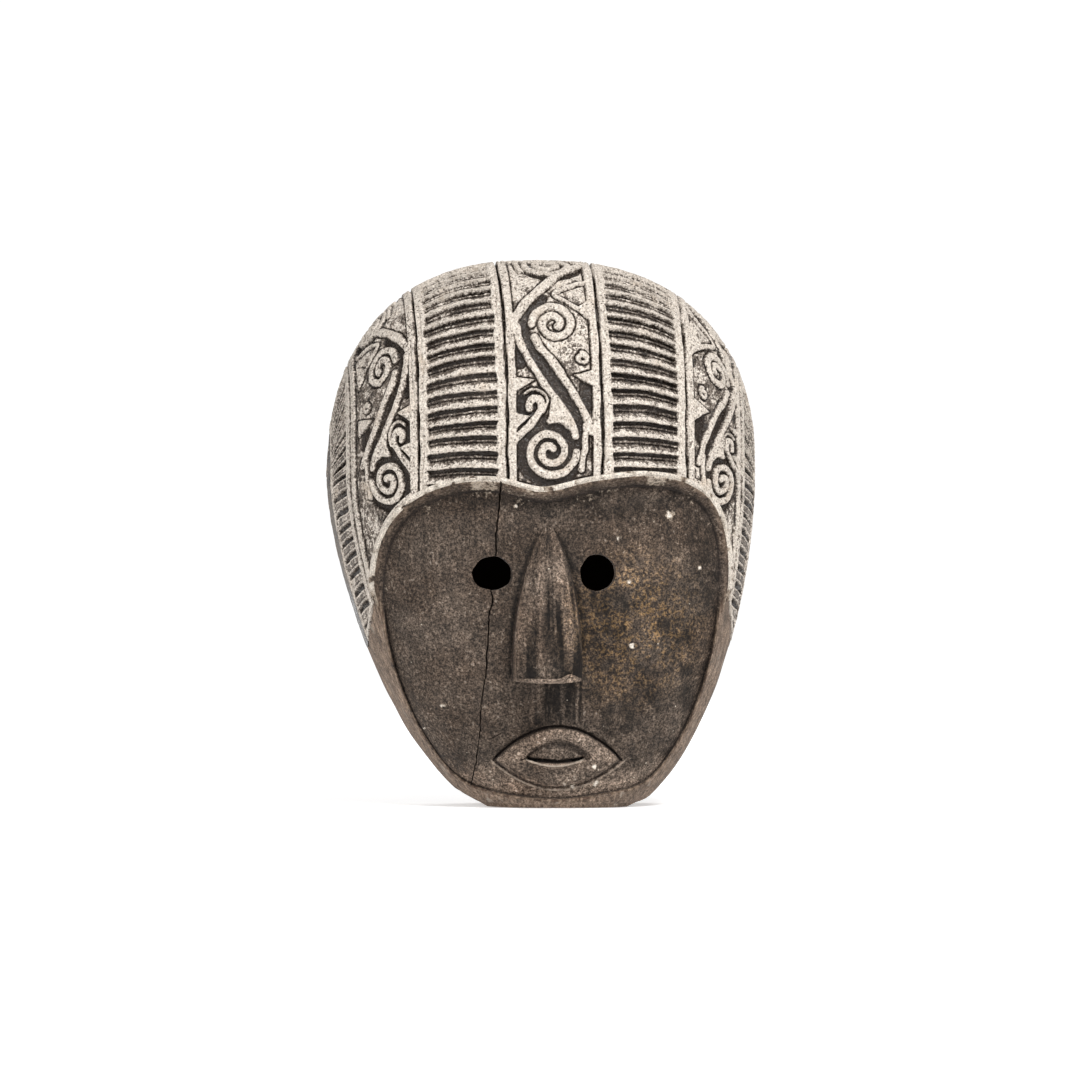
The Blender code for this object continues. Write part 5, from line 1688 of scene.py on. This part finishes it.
def swept(name, path, radius, sides):
    """A round wire along a closed path, as a mesh."""
    path = np.array(path)
    ahead = unit(np.roll(path, -1, axis=0) - np.roll(path, 1, axis=0))
    flat = unit(np.cross(ahead, (0.0, 1.0, 0.0)))
    turn = np.linspace(0.0, 2 * math.pi, sides, endpoint=False)
    depth = np.array([0.0, 1.0, 0.0])
    rings = path[:, None] + radius * (np.cos(turn)[:, None] * flat[:, None] + np.sin(turn)[:, None] * depth)
    index = np.arange(len(rings) * sides).reshape(len(rings), sides)
    index = np.concatenate([index, index[:1]])
    index = np.concatenate([index, index[:, :1]], axis=1)
    mesh = bpy.data.meshes.new(name)
    faces = [tuple(map(int, quad)) for quad in quads_of(index)]
    mesh.from_pydata([tuple(point) for point in rings.reshape(-1, 3)], [], faces)
    return facing_out(mesh)


def hardware():
    """Straps, rings, screws and wire, with their metals."""
    zinc = dull_metal("dull_zinc", (0.42, 0.41, 0.39), (0.28, 0.27, 0.25), 0.5)
    screw_metal = dull_metal("yellowed_screw", (0.50, 0.42, 0.26), (0.33, 0.27, 0.17), 0.45)
    wire_metal = dull_metal("twisted_steel", (0.36, 0.355, 0.35), (0.22, 0.215, 0.21), 0.42)
    for side in ("left", "right"):
        strap_piece(side, zinc)
        ring_piece(side, zinc)
        for where in ("lower", "upper"):
            screw_piece(side, where, screw_metal)
    wire_piece(wire_metal)


# ================================================================ stage


FLOOR_REACH = 2.2
FLOOR_DROP = 0.2 * MM
FLOOR_GLOW = 0.48
ROOM_LIGHT = 0.42
ROOM_SEEN = 1.05  # the room's strength as the camera sees it
LIGHTS = (  # name, watts, size and place
    ("key", 46, 0.6, (0.60, -1.45, 1.75)),
    ("fill", 10, 1.0, (-1.5, -1.6, 0.8)),
    ("back", 14, 1.2, (0.3, 1.8, 1.5)),
)
LIGHTS_AIM = (0.0, 0.0, 0.16)
CARD = (-60 * MM, 118 * MM, 52 * MM, 160 * MM)  # the eye-hole shade card's lower left and upper right x and z; the card is painted shade behind the eye holes
CAMERA_AIM = (-0.0031, -0.02, 0.1560)
CAMERA_AZIMUTH = math.radians(-3.0)
CAMERA_DISTANCE = 4.213
CAMERA_RISE = 0.03
CAMERA_LENS = 240


def looking(start, target):
    """The rotation that turns a lamp or a camera from its place to a target."""
    return (Vector(target) - Vector(start)).to_track_quat("-Z", "Y").to_euler()


def light(name, energy, size, location):
    """One square soft lamp, aimed at the object."""
    data = bpy.data.lights.new(name, "AREA")
    data.energy = energy
    data.shape = "RECTANGLE"
    data.size = size
    data.size_y = size
    obj = place(name, data)
    obj.location = location
    obj.rotation_euler = looking(location, LIGHTS_AIM)


def eye_hole_shade_card():
    """A black card behind the eye holes: painted shade standing in for the dark, closed hollow. Only a camera
    in front of it sees it, so it throws no shade.
    """
    x0, z0, x1, z1 = CARD
    y = BACK_Y + 1 * MM
    mesh = bpy.data.meshes.new("eye_hole_shade_card")
    mesh.from_pydata([(x0, y, z0), (x1, y, z0), (x1, y, z1), (x0, y, z1)], [], [(0, 1, 2, 3)])
    n = Nodes("eye_hole_shade_card", 1.0, specular=0.0)
    n.shader.inputs["Base Color"].default_value = (0.004, 0.0035, 0.003, 1.0)
    path = n.tree.nodes.new("ShaderNodeLightPath").outputs["Is Camera Ray"]
    behind = n.tree.nodes.new("ShaderNodeNewGeometry").outputs["Backfacing"]
    seen = n.times(path, n.minus(1.0, behind))
    clear = n.tree.nodes.new("ShaderNodeBsdfTransparent")
    blend = n.tree.nodes.new("ShaderNodeMixShader")
    n.link(seen, blend.inputs[0])
    n.link(clear.outputs[0], blend.inputs[1])
    n.link(n.shader.outputs[0], blend.inputs[2])
    n.link(blend.outputs[0], n.tree.nodes["Material Output"].inputs["Surface"])
    return place("eye_hole_shade_card", mesh, n.material)


def floor():
    """A plain pale floor with a faint glow, so that it stays white beyond the lamps."""
    mesh = bpy.data.meshes.new("floor")
    r = FLOOR_REACH
    corners = [(x, y, -FLOOR_DROP) for x, y in ((-r, -r), (r, -r), (r, r), (-r, r))]
    mesh.from_pydata(corners, [], [(0, 1, 2, 3)])
    n = Nodes("pale_floor", 0.9)
    n.shader.inputs["Emission Color"].default_value = (1.0, 1.0, 1.0, 1.0)
    n.shader.inputs["Emission Strength"].default_value = FLOOR_GLOW
    return place("floor", mesh, n.finish((0.86, 0.86, 0.86)))


def room():
    """A plain bright room: even soft light, and pure white to the camera."""
    world = bpy.data.worlds.new("studio")
    world.use_nodes = True
    tree = world.node_tree
    seen = tree.nodes.new("ShaderNodeLightPath").outputs["Is Camera Ray"]
    strength = tree.nodes.new("ShaderNodeMapRange")
    strength.inputs["To Min"].default_value = ROOM_LIGHT
    strength.inputs["To Max"].default_value = ROOM_SEEN
    tree.links.new(seen, strength.inputs["Value"])
    tree.nodes["Background"].inputs["Color"].default_value = (1.0, 1.0, 1.0, 1.0)
    tree.links.new(strength.outputs["Result"], tree.nodes["Background"].inputs["Strength"])
    return world


def studio():
    """Floor, card, room, lamps and camera."""
    floor()
    eye_hole_shade_card()
    scene = bpy.context.scene
    scene.world = room()
    for lamp in LIGHTS:
        light(*lamp)
    scene.view_settings.view_transform = "Standard"
    camera = bpy.data.cameras.new("camera")
    camera.lens = CAMERA_LENS
    camera.sensor_width = 36
    camera.clip_end = 20
    obj = place("camera", camera)
    away_x, away_y = math.sin(CAMERA_AZIMUTH), -math.cos(CAMERA_AZIMUTH)
    back = Vector((away_x * CAMERA_DISTANCE, away_y * CAMERA_DISTANCE, CAMERA_RISE))
    obj.location = Vector(CAMERA_AIM) + back
    obj.rotation_euler = looking(obj.location, CAMERA_AIM)
    scene.camera = obj


def build():
    """The block's ten pieces, the hardware and the studio."""
    relief = whitewashed_wood()
    dark = face_wood()
    brown = brown_wood("brown_rim_wood", (0.095, 0.064, 0.045), (0.26, 0.19, 0.14), (1.0, 1.0, 0.08))
    bare = brown_wood("bare_back_wood", (0.14, 0.092, 0.060), (0.30, 0.215, 0.145), (1.0, 1.0, 0.05))
    wood = []
    for k, name in enumerate(BAND_NAMES):
        wood.append(band_piece(name, BAND_BORDERS[k], BAND_BORDERS[k + 1], relief, 100 + 10 * k))
    wood.append(rib_piece("ribs_left", -1, relief, 200))
    wood.append(rib_piece("ribs_right", 1, relief, 220))
    wood.append(face_piece(dark))
    wood.append(jaw_piece(brown))
    wood.append(core_piece(bare))
    for piece in wood:
        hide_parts("carved_mask")
    hardware()
    studio()


build()
